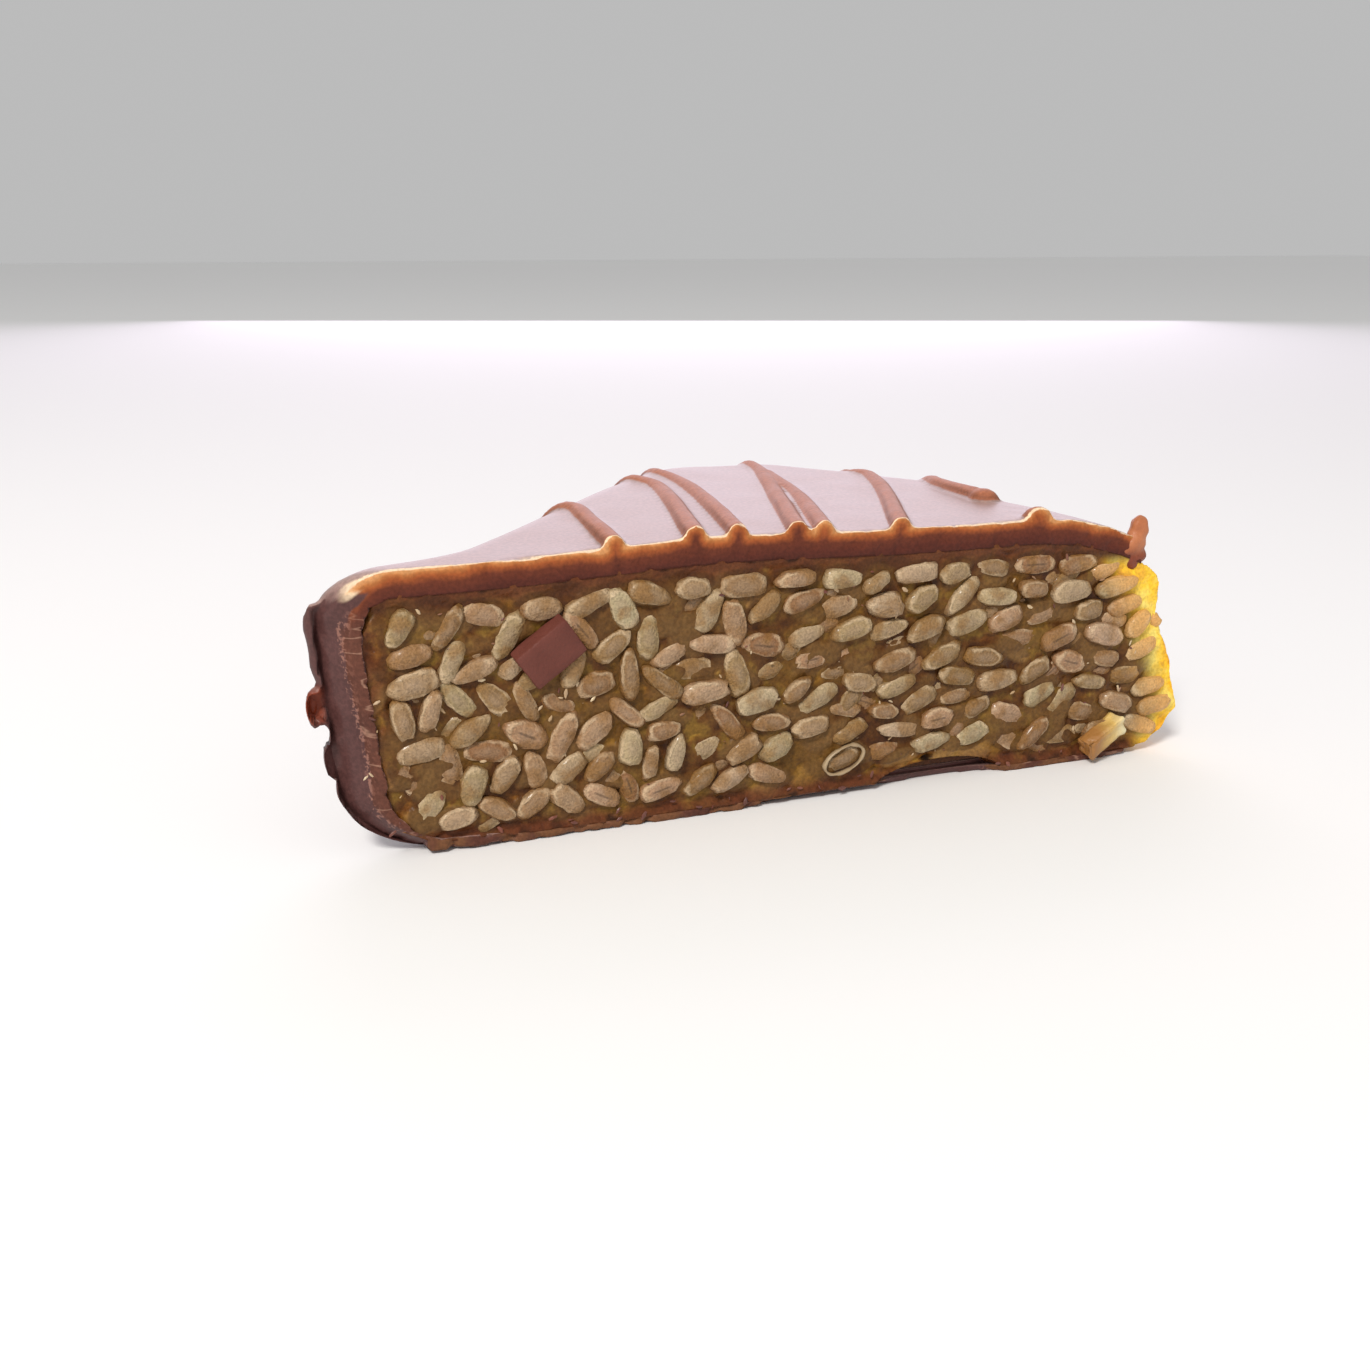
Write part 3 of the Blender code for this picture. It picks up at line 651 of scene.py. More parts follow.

# %% [markdown]
# ## Numbers for the paint
#
# The cut shows the coat in bands: a painted pale highlight right at the skin, a painted orange
# glow of light just below it, dark inside. The shader can't know how deep a point lies, so each
# point is given its depth below the uncut skin, and how far it stands above the body without its
# beads. Two more numbers say how far the skin faces up, where it is painted paler for the sky it
# mirrors and darker for shade, and whether a point belongs to the face of the cut.

# %% Numbers for the paint


def give_numbers(body, name, values):
    """Give a body one number for each point, for its material to read."""
    numbers = body.data.attributes.new(name, "FLOAT", "POINT")
    numbers.data.foreach_set("value", np.asarray(values, dtype=np.float32))


def shade_softly(body):
    """Shade a body without visible facets."""
    body.data.polygons.foreach_set("use_smooth", np.ones(len(body.data.polygons), dtype=bool))


spots, normals = read_points(coat)
depth = distance_to(outer_skin, spots)
nearest = [outer_skin.find_nearest(place(spot))[0] for spot in spots]
bead = np.array([plain_skin.find_nearest(spot)[3] / MM for spot in nearest]) * (depth < 0.5)
give_numbers(coat, "depth", depth)
give_numbers(coat, "bead", np.where(spots[:, 2] > 5, bead, 0.0))
give_numbers(coat, "up", normals[:, 2])
# The coat's outermost part at the left bends away from the cut, so it counts as skin.
outside = (spots[:, 0] < -22.0) * (1 - ramp(depth, 0.62, 0.95)) * (1 - ramp(spots[:, 2], 15.2, 16.4))
facing = ramp(-normals[:, 1], 0.1, 0.9) * (1 - ramp(spots[:, 1], 0.5, 0.8))
give_numbers(coat, "cut_face", facing * (1 - outside))
coat.name = "snap_coat"
shade_softly(coat)
print("depth up to", round(float(depth.max()), 2), "mm; beads up to", round(float(bead.max()), 2), "mm")

# %% [markdown]
# ## The filling's own block
#
# The filling fills the coat from wall to wall. Only its cut face and its broken right end show,
# so a slab behind the cut and the whole broken end are made fine, and a plain core fills the
# rest.

# %% The filling's block
SLAB_DEPTH, CORE_OVERLAP = 1.3, 0.2
FINE_VOXEL = 0.17
UNDER_COAT, CORE_GAP, SOLE_DROP = 0.2, 0.12, 0.12
END_FOOT = ((21.0, 0.5), (28.2, 0.6))
END_LIP = ((24.0, 14.25), (26.2, 14.0), (26.6, 12.8), (24.0, 12.8))
END_START, END_BACK, CORE_END, CORE_END_BACK = 21.5, 5.5, 22.5, 3.6

caramel = raise_body("caramel", body_rings(cavity_profile(-UNDER_COAT)))
foot = [(x, y, z) for x, z in END_FOOT for y in (IN_FRONT, 2.2)]
sole = [(x, y, z - SOLE_DROP) for x, z in FOOT_ROOM for y in (IN_FRONT, 1.15)]
lip = [(x, y, z) for x, z in END_LIP for y in (IN_FRONT, 1.8)]
combine(caramel, "UNION", [hull("end", break_points(1.0) + foot), hull("lip", lip), hull("sole", sole)])
combine(caramel, "DIFFERENCE", [
    block("front_half", ALONG, (-40.0, 0.0), UPWARDS),
    block("far_half", (ALONG[0], END_START), (SLAB_DEPTH, 60.0), UPWARDS),
    block("far_end", (20.0, ALONG[1]), (END_BACK, 60.0), UPWARDS),
    ellipsoid("chip", (CHIP_X, 0, 0), CHIP_RADII),
    ellipsoid("worn", (WORN_X, 0, 0), WORN_RADII),
])
apply_modifier(caramel, "REMESH", mode="VOXEL", voxel_size=FINE_VOXEL * MM)
apply_modifier(caramel, "SMOOTH", factor=0.5, iterations=1)
print("caramel in", keep_largest(caramel), "islands,", len(caramel.data.polygons) * 2, "triangles")
core = raise_body("filling_core", body_rings(cavity_profile(CORE_GAP)))
combine(core, "DIFFERENCE", [
    block("front", ALONG, (-40.0, SLAB_DEPTH - CORE_OVERLAP), UPWARDS),
    block("end_room", (CORE_END, ALONG[1]), (-40.0, CORE_END_BACK), UPWARDS),
])

# %% [markdown]
# ## Where the seeds lie
#
# The seeds lie anyhow at the left end of the cut and flatter to the right. They are spread by a
# rule: each one gets a place and a turn at random, then neighbours push each other apart until
# none overlap. The rule and its random numbers are those of the solids, so each fine seed lies
# on its plain one.

# %% Where the seeds lie
SEED_COUNT = 150
SEED_LENGTH, SEED_WIDTH, SEED_DEPTH = (1.35, 1.85), (0.68, 0.95), (0.55, 0.75)
SEED_SUNK = (0.12, 0.32)
SEED_MARGIN = 0.2
LOOSE_END, LAID_START = -12.0, 2.0
LAID_ANGLE, LAID_SPREAD, LOOSE_SPREAD = 10.0, 15.0, 62.0
PUSH_ROUNDS = 400
RANDOM_SEED = 11
FACE_LEFT, FACE_CORNER = -24.2, 4.8
FACE_RIGHT = ((1.2, 28.6), (3.2, 30.0), (6.0, 29.2), (9.4, 27.6), (11.9, 26.6), (14.5, 23.6))


def face_limits(x, z):
    """Return the room for a seed on the cut: left, right, bottom and top."""
    right = np.interp(z, [low for low, _ in FACE_RIGHT], [reach for _, reach in FACE_RIGHT])
    low_left = np.clip((FACE_CORNER - z) / FACE_CORNER, 0.0, 1.0)
    left = FACE_LEFT + FACE_CORNER * low_left ** 2
    top = TOP_HEIGHT - TOP_COAT - GAP + top_offset(x)
    hollow = np.clip(1 - ((x - CHIP_X) / CHIP_RADII[0]) ** 2, 0.0, 1.0)
    bottom = BASE_COAT + GAP + base_offset(x) + (CHIP_RADII[2] - BASE_COAT) * np.sqrt(hollow)
    return left, right, bottom, top


def scatter_seeds():
    """Spread seeds over the cut, loose at its left end and laid flatter to the right."""
    draw = np.random.default_rng(RANDOM_SEED)
    count = SEED_COUNT
    x = draw.uniform(FACE_LEFT, FACE_RIGHT[1][1], count)
    z = draw.uniform(BASE_COAT, TOP_HEIGHT - TOP_COAT, count)
    long_half = draw.uniform(*SEED_LENGTH, count)
    wide_half = draw.uniform(*SEED_WIDTH, count)
    deep_half = draw.uniform(*SEED_DEPTH, count)
    sunk = draw.uniform(*SEED_SUNK, count)
    loose = np.clip((LAID_START - x) / (LAID_START - LOOSE_END), 0.0, 1.0)
    spread = LAID_SPREAD + (LOOSE_SPREAD - LAID_SPREAD) * loose
    angle = np.radians(LAID_ANGLE + spread * draw.standard_normal(count))
    wide = np.sqrt((long_half * np.cos(angle)) ** 2 + (wide_half * np.sin(angle)) ** 2)
    tall = np.sqrt((long_half * np.sin(angle)) ** 2 + (wide_half * np.cos(angle)) ** 2)
    for _ in range(PUSH_ROUNDS):
        dx = x[:, None] - x[None, :]
        dz = z[:, None] - z[None, :]
        apart = np.hypot(dx, dz) + np.eye(count)
        turn = np.arctan2(dz, dx) - angle[:, None]
        reach = 1 / np.hypot(np.cos(turn) / long_half[:, None], np.sin(turn) / wide_half[:, None])
        overlap = np.clip(reach + reach.T - apart, 0.0, None) * (1 - np.eye(count))
        x = x + 0.25 * (overlap * dx / apart).sum(axis=1)
        z = z + 0.25 * (overlap * dz / apart).sum(axis=1)
        left, right, bottom, top = face_limits(x, z)
        x = np.clip(x, left + wide + SEED_MARGIN, right - wide)
        z = np.clip(z, bottom + tall + SEED_MARGIN, top - tall - SEED_MARGIN)
    return np.stack([x, z, angle, long_half, wide_half, deep_half, sunk], axis=1)


seeds = scatter_seeds()
HUSK_SPOT = (5.1, 1.7)
open_one = int(np.argmin(np.hypot(seeds[:, 0] - HUSK_SPOT[0], seeds[:, 1] - HUSK_SPOT[1])))
husk_row = seeds[open_one]
print(len(seeds), "seeds, the longest", round(float(seeds[:, 3].max()) * 2, 2), "mm")

# %% [markdown]
# ## The caramel's face
#
# Between the seeds the caramel sits a little deeper than the cut. It climbs up each seed's side
# in a small rounded edge, and seeds that lie deeper swell under it. The face is shaped as a
# height over the cut, worked out from the distance to each seed. At the left the coat's wall
# stands free, so the caramel that reaches past it is pushed back.

# %% The caramel's face
DEEP_COUNT = 230
DEEP_SEED = 5
RECESS, RISE, RISE_WIDTH = 0.46, 0.2, 0.16
SOFT_RELIEF, FINE_RELIEF, PIT_DEPTH, SWELL_RISE = 0.08, 0.04, 0.6, 0.26
BROKEN_RELIEF, BROKEN_FINE_RELIEF = 0.28, 0.1
GAP_SEED, GAP_TRIES, GAP_CLEAR, GAP_APART = 31, 3500, 0.02, 0.95
WALL_LEFT = ((1.0, -22.9), (3.0, -24.0), (5.0, -24.25), (9.0, -24.67), (13.0, -24.95), (15.0, -24.2))
HOLES = ((-10.7, 2.2, 0.55, 0.3), (-23.4, 9.1, 0.4, 0.25), (17.6, 11.6, 0.3, 0.2), (3.6, 12.0, 0.3, 0.25))

draw = np.random.default_rng(DEEP_SEED)
deep = np.stack([
    draw.uniform(FACE_LEFT - 0.6, 30.0, DEEP_COUNT),
    draw.uniform(1.0, TOP_HEIGHT - TOP_COAT, DEEP_COUNT),
    np.radians(draw.uniform(-40, 60, DEEP_COUNT)),
    draw.uniform(1.2, 1.7, DEEP_COUNT),
    draw.uniform(0.6, 0.85, DEEP_COUNT),
    draw.uniform(0.0, 1.0, DEEP_COUNT),
], axis=1)


def ellipse_reach(x, z, row):
    """Return how far points lie from an ellipse's middle, where 1 is its outline."""
    dx, dz = x - row[0], z - row[1]
    cos, sin = math.cos(row[2]), math.sin(row[2])
    return np.hypot((dx * cos + dz * sin) / row[3], (dz * cos - dx * sin) / row[4])


def fill_gaps():
    """Find places between the seeds of the cut where seeds of the next layer show."""
    draw = np.random.default_rng(GAP_SEED)
    found = []
    for x, z in zip(draw.uniform(FACE_LEFT - 0.4, 29.0, GAP_TRIES), draw.uniform(1.2, 15.0, GAP_TRIES)):
        left, right, bottom, top = face_limits(x, z)
        inside = left + 0.5 < x < right - 0.8 and bottom + 0.5 < z < top - 0.3
        clear = min((ellipse_reach(x, z, row) - 1) * row[4] for row in seeds)
        apart = min([math.hypot(x - row[0], z - row[1]) for row in found], default=9.0)
        if inside and clear > GAP_CLEAR and apart > GAP_APART:
            angle = math.radians(draw.uniform(-35, 55))
            found.append((x, z, angle, draw.uniform(0.8, 1.55), draw.uniform(0.5, 0.8), 0.55,
                          draw.uniform(0.5, 0.86)))
    return np.array(found)


gap_seeds = fill_gaps()
print(len(gap_seeds), "seeds show in the gaps")

spots, normals = read_points(caramel)
x, z = spots[:, 0], spots[:, 2]
facing = ramp(-normals[:, 1], 0.35, 0.85) * (spots[:, 1] < 0.4)
# How far each point is from a seed's outline, and how far a deeper seed swells the caramel.
near_seed = np.full(len(x), 9.0)
for row in seeds:
    near_seed = np.minimum(near_seed, (ellipse_reach(x, z, row) - 1) * row[4])
swell, tone = np.zeros(len(x)), np.zeros(len(x))
for row in gap_seeds:
    near_seed = np.minimum(near_seed, np.maximum(ellipse_reach(x, z, row) - 1, -0.05) * row[4] + 0.08)
for row in deep:
    bulge = np.sqrt(np.clip(1 - ellipse_reach(x, z, row) ** 2, 0.0, 1.0)) * (0.55 + 0.45 * row[5])
    tone = np.where(bulge > swell, row[5], tone)
    swell = np.maximum(swell, bulge)
# Small pits between the seeds, and four holes where the photograph shows them.
pit = ramp(soft_noise(spots, 1.1, 4.0), 0.15, 0.55) * ramp(near_seed, 0.1, 0.5) * (1 - ramp(swell, 0.0, 0.5))
for hole_x, hole_z, wide, tall in HOLES:
    pit = np.maximum(pit, np.exp(-((x - hole_x) / wide) ** 2 - ((z - hole_z) / tall) ** 2))
# The depth behind the cut, which runs out towards the coat.
height = RECESS + SOFT_RELIEF * soft_noise(spots, 1.6, 1.0) + FINE_RELIEF * soft_noise(spots, 0.5, 2.0)
height += PIT_DEPTH * pit - SWELL_RISE * swell
height -= RISE * np.exp(-np.clip(near_seed, 0.0, None) / RISE_WIDTH)
roof = TOP_HEIGHT - TOP_COAT + top_offset(x) - z
floor_gap = (z - FOOT_ROOM[1][1] - base_offset(x)) * 1.5
wall = np.minimum(np.minimum(roof, floor_gap), np.minimum((x - FACE_LEFT + 1.4) * 0.8, 3.0))
height *= 0.15 + 0.85 * ramp(wall, 0.0, 0.9)
spots[:, 1] += facing * np.clip(height, 0.02, 1.0)
# The strip past the coat's free wall goes back, and the broken end is rough.
wall_left = np.interp(z, [level for level, _ in WALL_LEFT], [reach for _, reach in WALL_LEFT])
spots[:, 1] = np.maximum(spots[:, 1], (SLAB_DEPTH - 0.1) * ramp(wall_left - x, 0.15, 0.35))
end = ramp(x, 22.5, 25.5) * (1 - facing) * (1 - 0.8 * ramp(spots[:, 1], 1.4, 2.8))
broken = BROKEN_RELIEF * (soft_noise(spots, 1.3, 6.0) - 0.5)
broken += BROKEN_FINE_RELIEF * (soft_noise(spots, 0.5, 9.0) - 0.4)
spots = spots + normals * (end * broken)[:, None]
write_points(caramel, np.clip(spots, low, high))
give_numbers(caramel, "swell", swell)
give_numbers(caramel, "tone", tone)
give_numbers(caramel, "pit", pit)
give_numbers(caramel, "near_seed", near_seed)


# The broken end is painted as lit through from behind; this number says where.
def end_glow(spots, full, none):
    """Return how near points lie to the broken right end: 1 within the full depth, 0 past none."""
    right = np.interp(spots[:, 2], [low for low, _ in FACE_RIGHT], [reach for _, reach in FACE_RIGHT])
    taper = 1 - (1 - BREAK_TAPER) * np.clip((spots[:, 1] / BREAK_DEPTH - 0.4) / 0.6, 0.0, 1.0)
    right = BREAK_CENTRE[0] + (right - BREAK_CENTRE[0]) * taper
    near = 1 - ramp(right + 0.6 - spots[:, 0] + 0.5 * soft_noise(spots, 1.5, 12.0), full, none)
    return near * ramp(14.4 - spots[:, 2], 0.0, 1.2)


give_numbers(caramel, "end_glow", end_glow(spots, 0.4, 3.0))
give_numbers(caramel, "to_coat", wall + 0.5 * soft_noise(spots, 1.1, 14.0))
shade_softly(caramel)
print("caramel sits", round(float((facing * height).max()), 2), "mm deep at most")

# %% [markdown]
# ## One seed, then all of them
#
# A hulled sesame seed is a flat drop with a blunt and a pointed end and a faint rim. One seed
# is made from a sphere that a taper modifier draws to a point. Its points are then copied to
# every place with that seed's own turn and size, and each copy is dented a little in its own
# way.

# %% Sesame seeds
SEED_SEGMENTS, SEED_RINGS = 8, 9
SEED_TAPER = 0.2
BLUNTNESS = (2.0, 3.0)
CUT_SHARE, BURIED_SHARE = 0.65, 0.4
SLIM = (0.82, 0.98)
DENT, BEND = 0.22, 0.16
CUT_LEVELS, BURIED_DEPTHS = (0.4, 0.75), (0.12, 0.3)
END_SEED_DEPTHS = (1.2, 4.4)

deselect_all()
bpy.ops.mesh.primitive_uv_sphere_add(segments=SEED_SEGMENTS, ring_count=SEED_RINGS, radius=1.0)
pattern = bpy.context.object
pattern.name = "seed_pattern"
apply_modifier(pattern, "SIMPLE_DEFORM", deform_method="TAPER", deform_axis="Z", factor=SEED_TAPER)
pattern_spots = np.array([vert.co for vert in pattern.data.vertices])
pattern_spots /= np.abs(pattern_spots).max(axis=0)
pattern_faces = [tuple(face.vertices) for face in pattern.data.polygons]
bpy.data.objects.remove(pattern)


def copy_seeds(name, turns, places, sizes, seed, dimmed=0.0):
    """Copy the seed pattern to every place in one mesh, and give each seed its own tone."""
    draw = np.random.default_rng(seed)
    parts, faces, tones, hues = [], [], [], []
    for index, (turn, spot, size) in enumerate(zip(turns, places, sizes)):
        shape = pattern_spots.copy()
        upended = draw.uniform() < 0.5
        if upended:
            shape[:, 2] *= -1
        power = draw.uniform(*BLUNTNESS)
        blunt = (np.abs(shape) ** power).sum(axis=1) ** (1 / power)
        shape *= (np.linalg.norm(shape, axis=1) / np.maximum(blunt, 1e-6))[:, None]
        shape /= np.abs(shape).max(axis=0)
        dent = np.array([noise.noise(Vector(row) * 1.5 + Vector((index * 7.3, 0, 0))) for row in shape])
        shape *= (1 - DENT * np.clip(dent + 0.2, 0, 1))[:, None]
        shape[:, 1] *= 1 + BEND * math.sin(index * 2.1) * shape[:, 2]
        if draw.uniform() < CUT_SHARE:
            level = draw.uniform(*CUT_LEVELS)
            shape[:, 0] = np.where(shape[:, 0] < -level, -level - 0.15 * (-level - shape[:, 0]), shape[:, 0])
        start = index * len(shape)
        faces += [tuple(start + corner for corner in (face[::-1] if upended else face))
                  for face in pattern_faces]
        buried = draw.uniform(*BURIED_DEPTHS) if draw.uniform() < BURIED_SHARE else 0.0
        moved = np.array(spot) + np.array((0.0, buried, 0.0))
        parts.append(shape * np.array(size) @ np.array(turn).T + moved)
        tones.append(np.full(len(shape), np.clip(draw.uniform() - buried - dimmed, 0, 1)))
        hues.append(np.full(len(shape), draw.uniform()))
    spots = np.clip(np.concatenate(parts), low, high)
    body = body_from(name, spots, faces)
    give_numbers(body, "seed_tone", np.concatenate(tones))
    give_numbers(body, "seed_hue", np.concatenate(hues))
    give_numbers(body, "across", np.tile(pattern_spots[:, 1], len(parts)))
    give_numbers(body, "along", np.tile(pattern_spots[:, 2], len(parts)))
    give_numbers(body, "end_glow", end_glow(spots, *END_SEED_DEPTHS))
    shade_softly(body)
    return body


LONG_TO_X = np.array(((0.0, 0.0, 1.0), (1.0, 0.0, 0.0), (0.0, 1.0, 0.0)))


def turn_in_cut(angle):
    """Return the turn that lays a seed's length along the cut at an angle."""
    cos, sin = math.cos(angle), math.sin(angle)
    return np.array(((cos, 0, -sin), (0, 1, 0), (sin, 0, cos))) @ LONG_TO_X


DEEPER_DIMMED = 0.35
slimmer = np.random.default_rng(41).uniform(*SLIM, len(seeds))
front_seeds = copy_seeds(
    "sesame_seeds", [turn_in_cut(row[2]) for row in seeds], [(row[0], row[6], row[1]) for row in seeds],
    [(row[5], row[4] * slim, row[3] * slim) for row, slim in zip(seeds, slimmer)], 21)
back_seeds = copy_seeds(
    "deeper_seeds", [turn_in_cut(row[2]) for row in gap_seeds],
    [(row[0], row[6], row[1]) for row in gap_seeds], [(row[5], row[4], row[3]) for row in gap_seeds],
    22, DEEPER_DIMMED)
print("seeds have", sum(len(f.vertices) - 2 for f in front_seeds.data.polygons), "triangles")

# %% [markdown]
# ## Seeds on the broken end
#
# The broken end shows a few seeds flat side out, almost flush with the caramel round them. Each
# is laid on the caramel's skin and turned to its normal, and none comes near the coat's edge.

# %% Seeds on the broken end
END_SEED_COUNT, END_APART, END_SEED, END_SUNK = 12, 1.9, 8, 0.4
END_ROOM_LOW, END_ROOM_HIGH = np.array((24.0, 1.4, 1.4)), np.array((30.1, 2.7, 12.6))


def seeds_on_end():
    """Lay seeds on the broken end's skin, each with its flat side outwards."""
    draw = np.random.default_rng(END_SEED)
    spots, normals = read_points(caramel)
    inside = np.all((spots > END_ROOM_LOW) & (spots < END_ROOM_HIGH), axis=1)
    outwards = (normals[:, 0] > 0.2) & (normals[:, 1] > -0.55) & (np.abs(normals[:, 2]) < 0.75)
    turns, places, sizes = [], [], []
    for index in draw.permutation(np.flatnonzero(inside & outwards)):
        spot, out = spots[index], Vector(normals[index])
        if all(np.linalg.norm(spot - other) > END_APART for other in places):
            along = out.cross(Vector((0.0, draw.uniform(-0.5, 0.5), 1.0))).normalized()
            turns.append(np.array((-out, out.cross(along), along)).T)
            places.append(spot - np.array(out) * END_SUNK)
            sizes.append((0.5, draw.uniform(0.65, 0.8), draw.uniform(1.2, 1.6)))
        if len(places) == END_SEED_COUNT:
            break
    return copy_seeds("end_seeds", turns, places, sizes, 23)


end_seeds = seeds_on_end()
print("seeds on the broken end", len(end_seeds.data.vertices) // len(pattern_spots))

# %% [markdown]
# ## Shard and chunk on the cut
#
# The knife pushed a flake of chocolate into the cut, and a pale chunk of sugar and seed sticks
# out at the foot of the broken end. Each starts as a cube that is pressed to size, bevelled and
# subdivided, so that its edges stay clear but not sharp.

# %% Shard and chunk
SHARD_SIZE, SHARD_PLACE, SHARD_TILT = (3.7, 1.3, 2.6), (-14.6, -0.2, 11.6), (0.2, -0.62, 0.0)
CHUNK_SIZE, CHUNK_PLACE, CHUNK_TILT = (3.5, 1.5, 1.7), (24.0, -0.35, 1.85), (0.25, -0.5, 0.15)


def turned_block(name, size, spot, tilt, bevel, cuts, uneven):
    """Make a small tilted block with bevelled edges and a slightly uneven skin."""
    deselect_all()
    bpy.ops.mesh.primitive_cube_add(size=MM)
    body = bpy.context.object
    body.name = name
    bpy.ops.transform.resize(value=size)
    bpy.ops.object.transform_apply(location=False, rotation=False, scale=True)
    bpy.ops.object.mode_set(mode="EDIT")
    bpy.ops.mesh.select_all(action="SELECT")
    bpy.ops.mesh.bevel(offset=bevel * MM, segments=2, affect="EDGES")
    bpy.ops.mesh.select_all(action="SELECT")
    bpy.ops.mesh.subdivide(number_cuts=cuts)
    bpy.ops.object.mode_set(mode="OBJECT")
    body.rotation_euler = tilt
    body.location = place(spot)
    bpy.ops.object.transform_apply(location=True, rotation=True, scale=False)
    spots, normals = read_points(body)
    rough = uneven * soft_noise(spots, 0.9, 3.0) + uneven * 0.4 * soft_noise(spots, 0.35, 5.0)
    write_points(body, np.clip(spots + normals * (rough - uneven * 0.6)[:, None], low, high))
    shade_softly(body)
    return body


NUB_PLACE, NUB_SIZES = (26.15, 0.45, 15.75), (0.72, 0.62, 0.95)
BITS = (((26.0, 0.45, 15.2), (0.7, 0.62, 1.0)), ((25.8, 0.4, 14.6), (0.95, 0.6, 0.8)),
        ((25.75, 0.35, 13.75), (0.6, 0.45, 0.7)), ((26.3, 0.5, 14.1), (0.6, 0.55, 0.75)),
        ((25.0, 0.2, 14.35), (0.6, 0.4, 0.35)))
HUSK_THICKNESS = 0.09
CRUMB_COUNT, BASE_CRUMBS, CRUMB_SEED = 150, 24, 17
CRUMB_SIZES = (0.06, 0.22)


def make_nub():
    """Make the upright stub of chocolate at the broken end of the top."""
    body = ellipsoid("chocolate_nub", NUB_PLACE, NUB_SIZES)
    combine(body, "UNION", [ellipsoid("bit", centre, radii) for centre, radii in BITS])
    apply_modifier(body, "REMESH", mode="VOXEL", voxel_size=0.12 * MM)
    apply_modifier(body, "SMOOTH", factor=0.5, iterations=4)
    spots, normals = read_points(body)
    write_points(body, spots + normals * (0.16 * soft_noise(spots, 0.7, 2.0) - 0.05)[:, None])
    shade_softly(body)
    return body


def make_husk():
    """Make the open husk of a seed: a thin ring that lies in the cut."""
    deselect_all()
    bpy.ops.mesh.primitive_torus_add(
        major_segments=36, minor_segments=8, major_radius=MM, minor_radius=HUSK_THICKNESS * MM)
    body = bpy.context.object
    body.name = "open_husk"
    bpy.ops.transform.resize(value=(husk_row[3] * 0.92, husk_row[4] * 0.95, 2.0))
    body.rotation_euler = (math.pi / 2, -husk_row[2], 0)
    body.location = place((husk_row[0], husk_row[6] - 0.25, husk_row[1]))
    bpy.ops.object.transform_apply(location=True, rotation=True, scale=True)
    spots, normals = read_points(body)
    write_points(body, spots + normals * (0.1 * soft_noise(spots, 0.5, 4.0))[:, None])
    shade_softly(body)
    return body


def make_crumbs():
    """Scatter small flakes of husk and chocolate over the cut, in one mesh."""
    draw = np.random.default_rng(CRUMB_SEED)
    deselect_all()
    bpy.ops.mesh.primitive_ico_sphere_add(subdivisions=1, radius=1.0)
    pattern = bpy.context.object
    shape = np.array([vert.co for vert in pattern.data.vertices])
    flake_faces = [tuple(face.vertices) for face in pattern.data.polygons]
    bpy.data.objects.remove(pattern)
    parts, faces, kinds = [], [], []
    for index in range(CRUMB_COUNT):
        size = draw.uniform(*CRUMB_SIZES)
        x, z = draw.uniform(-25.5, 26.5), draw.uniform(1.4, 14.6)
        if index < BASE_CRUMBS:
            size, x, z = size * 1.3, draw.uniform(-18.0, 25.0), draw.uniform(0.35, 1.3)
        angle = draw.uniform(0, math.pi)
        one = shape * np.array((size * 1.5, 0.06, size * 0.6)) * draw.uniform(0.7, 1.2, shape.shape)
        cos, sin = math.cos(angle), math.sin(angle)
        turned = one @ np.array(((cos, 0, sin), (0, 1, 0), (-sin, 0, cos)))
        turned[:, 1] += 0.12 * turned[:, 0] + draw.uniform(-0.05, 0.12)
        faces += [tuple(index * len(shape) + corner for corner in face) for face in flake_faces]
        parts.append(turned + np.array((x, 0.0, z)))
        kinds.append(np.full(len(shape), draw.uniform(0.66 if index < BASE_CRUMBS else 0.0, 1.0)))
    body = body_from("cut_crumbs", np.concatenate(parts), faces)
    give_numbers(body, "kind", np.concatenate(kinds))
    return body


nub, husk, crumbs = make_nub(), make_husk(), make_crumbs()
shard = turned_block("chocolate_shard", SHARD_SIZE, SHARD_PLACE, SHARD_TILT, 0.16, 5, 0.05)
chunk = turned_block("pale_chunk", CHUNK_SIZE, CHUNK_PLACE, CHUNK_TILT, 0.3, 6, 0.2)
print("shard and chunk", len(shard.data.polygons), len(chunk.data.polygons), "faces")

# %% [markdown]
# ## Words for mixing a finish
#
# Each finish below is a chain of small nodes. A short word for each kind of node keeps the
# recipes readable: read a number from the points, turn a number into a soft step, mix two
# colours, multiply masks. The words build ordinary shader nodes and nothing else.

# %% Words for mixing a finish
# Most values of the shared pattern lie between these two.
PATTERN_RANGE = (0.3, 0.7)


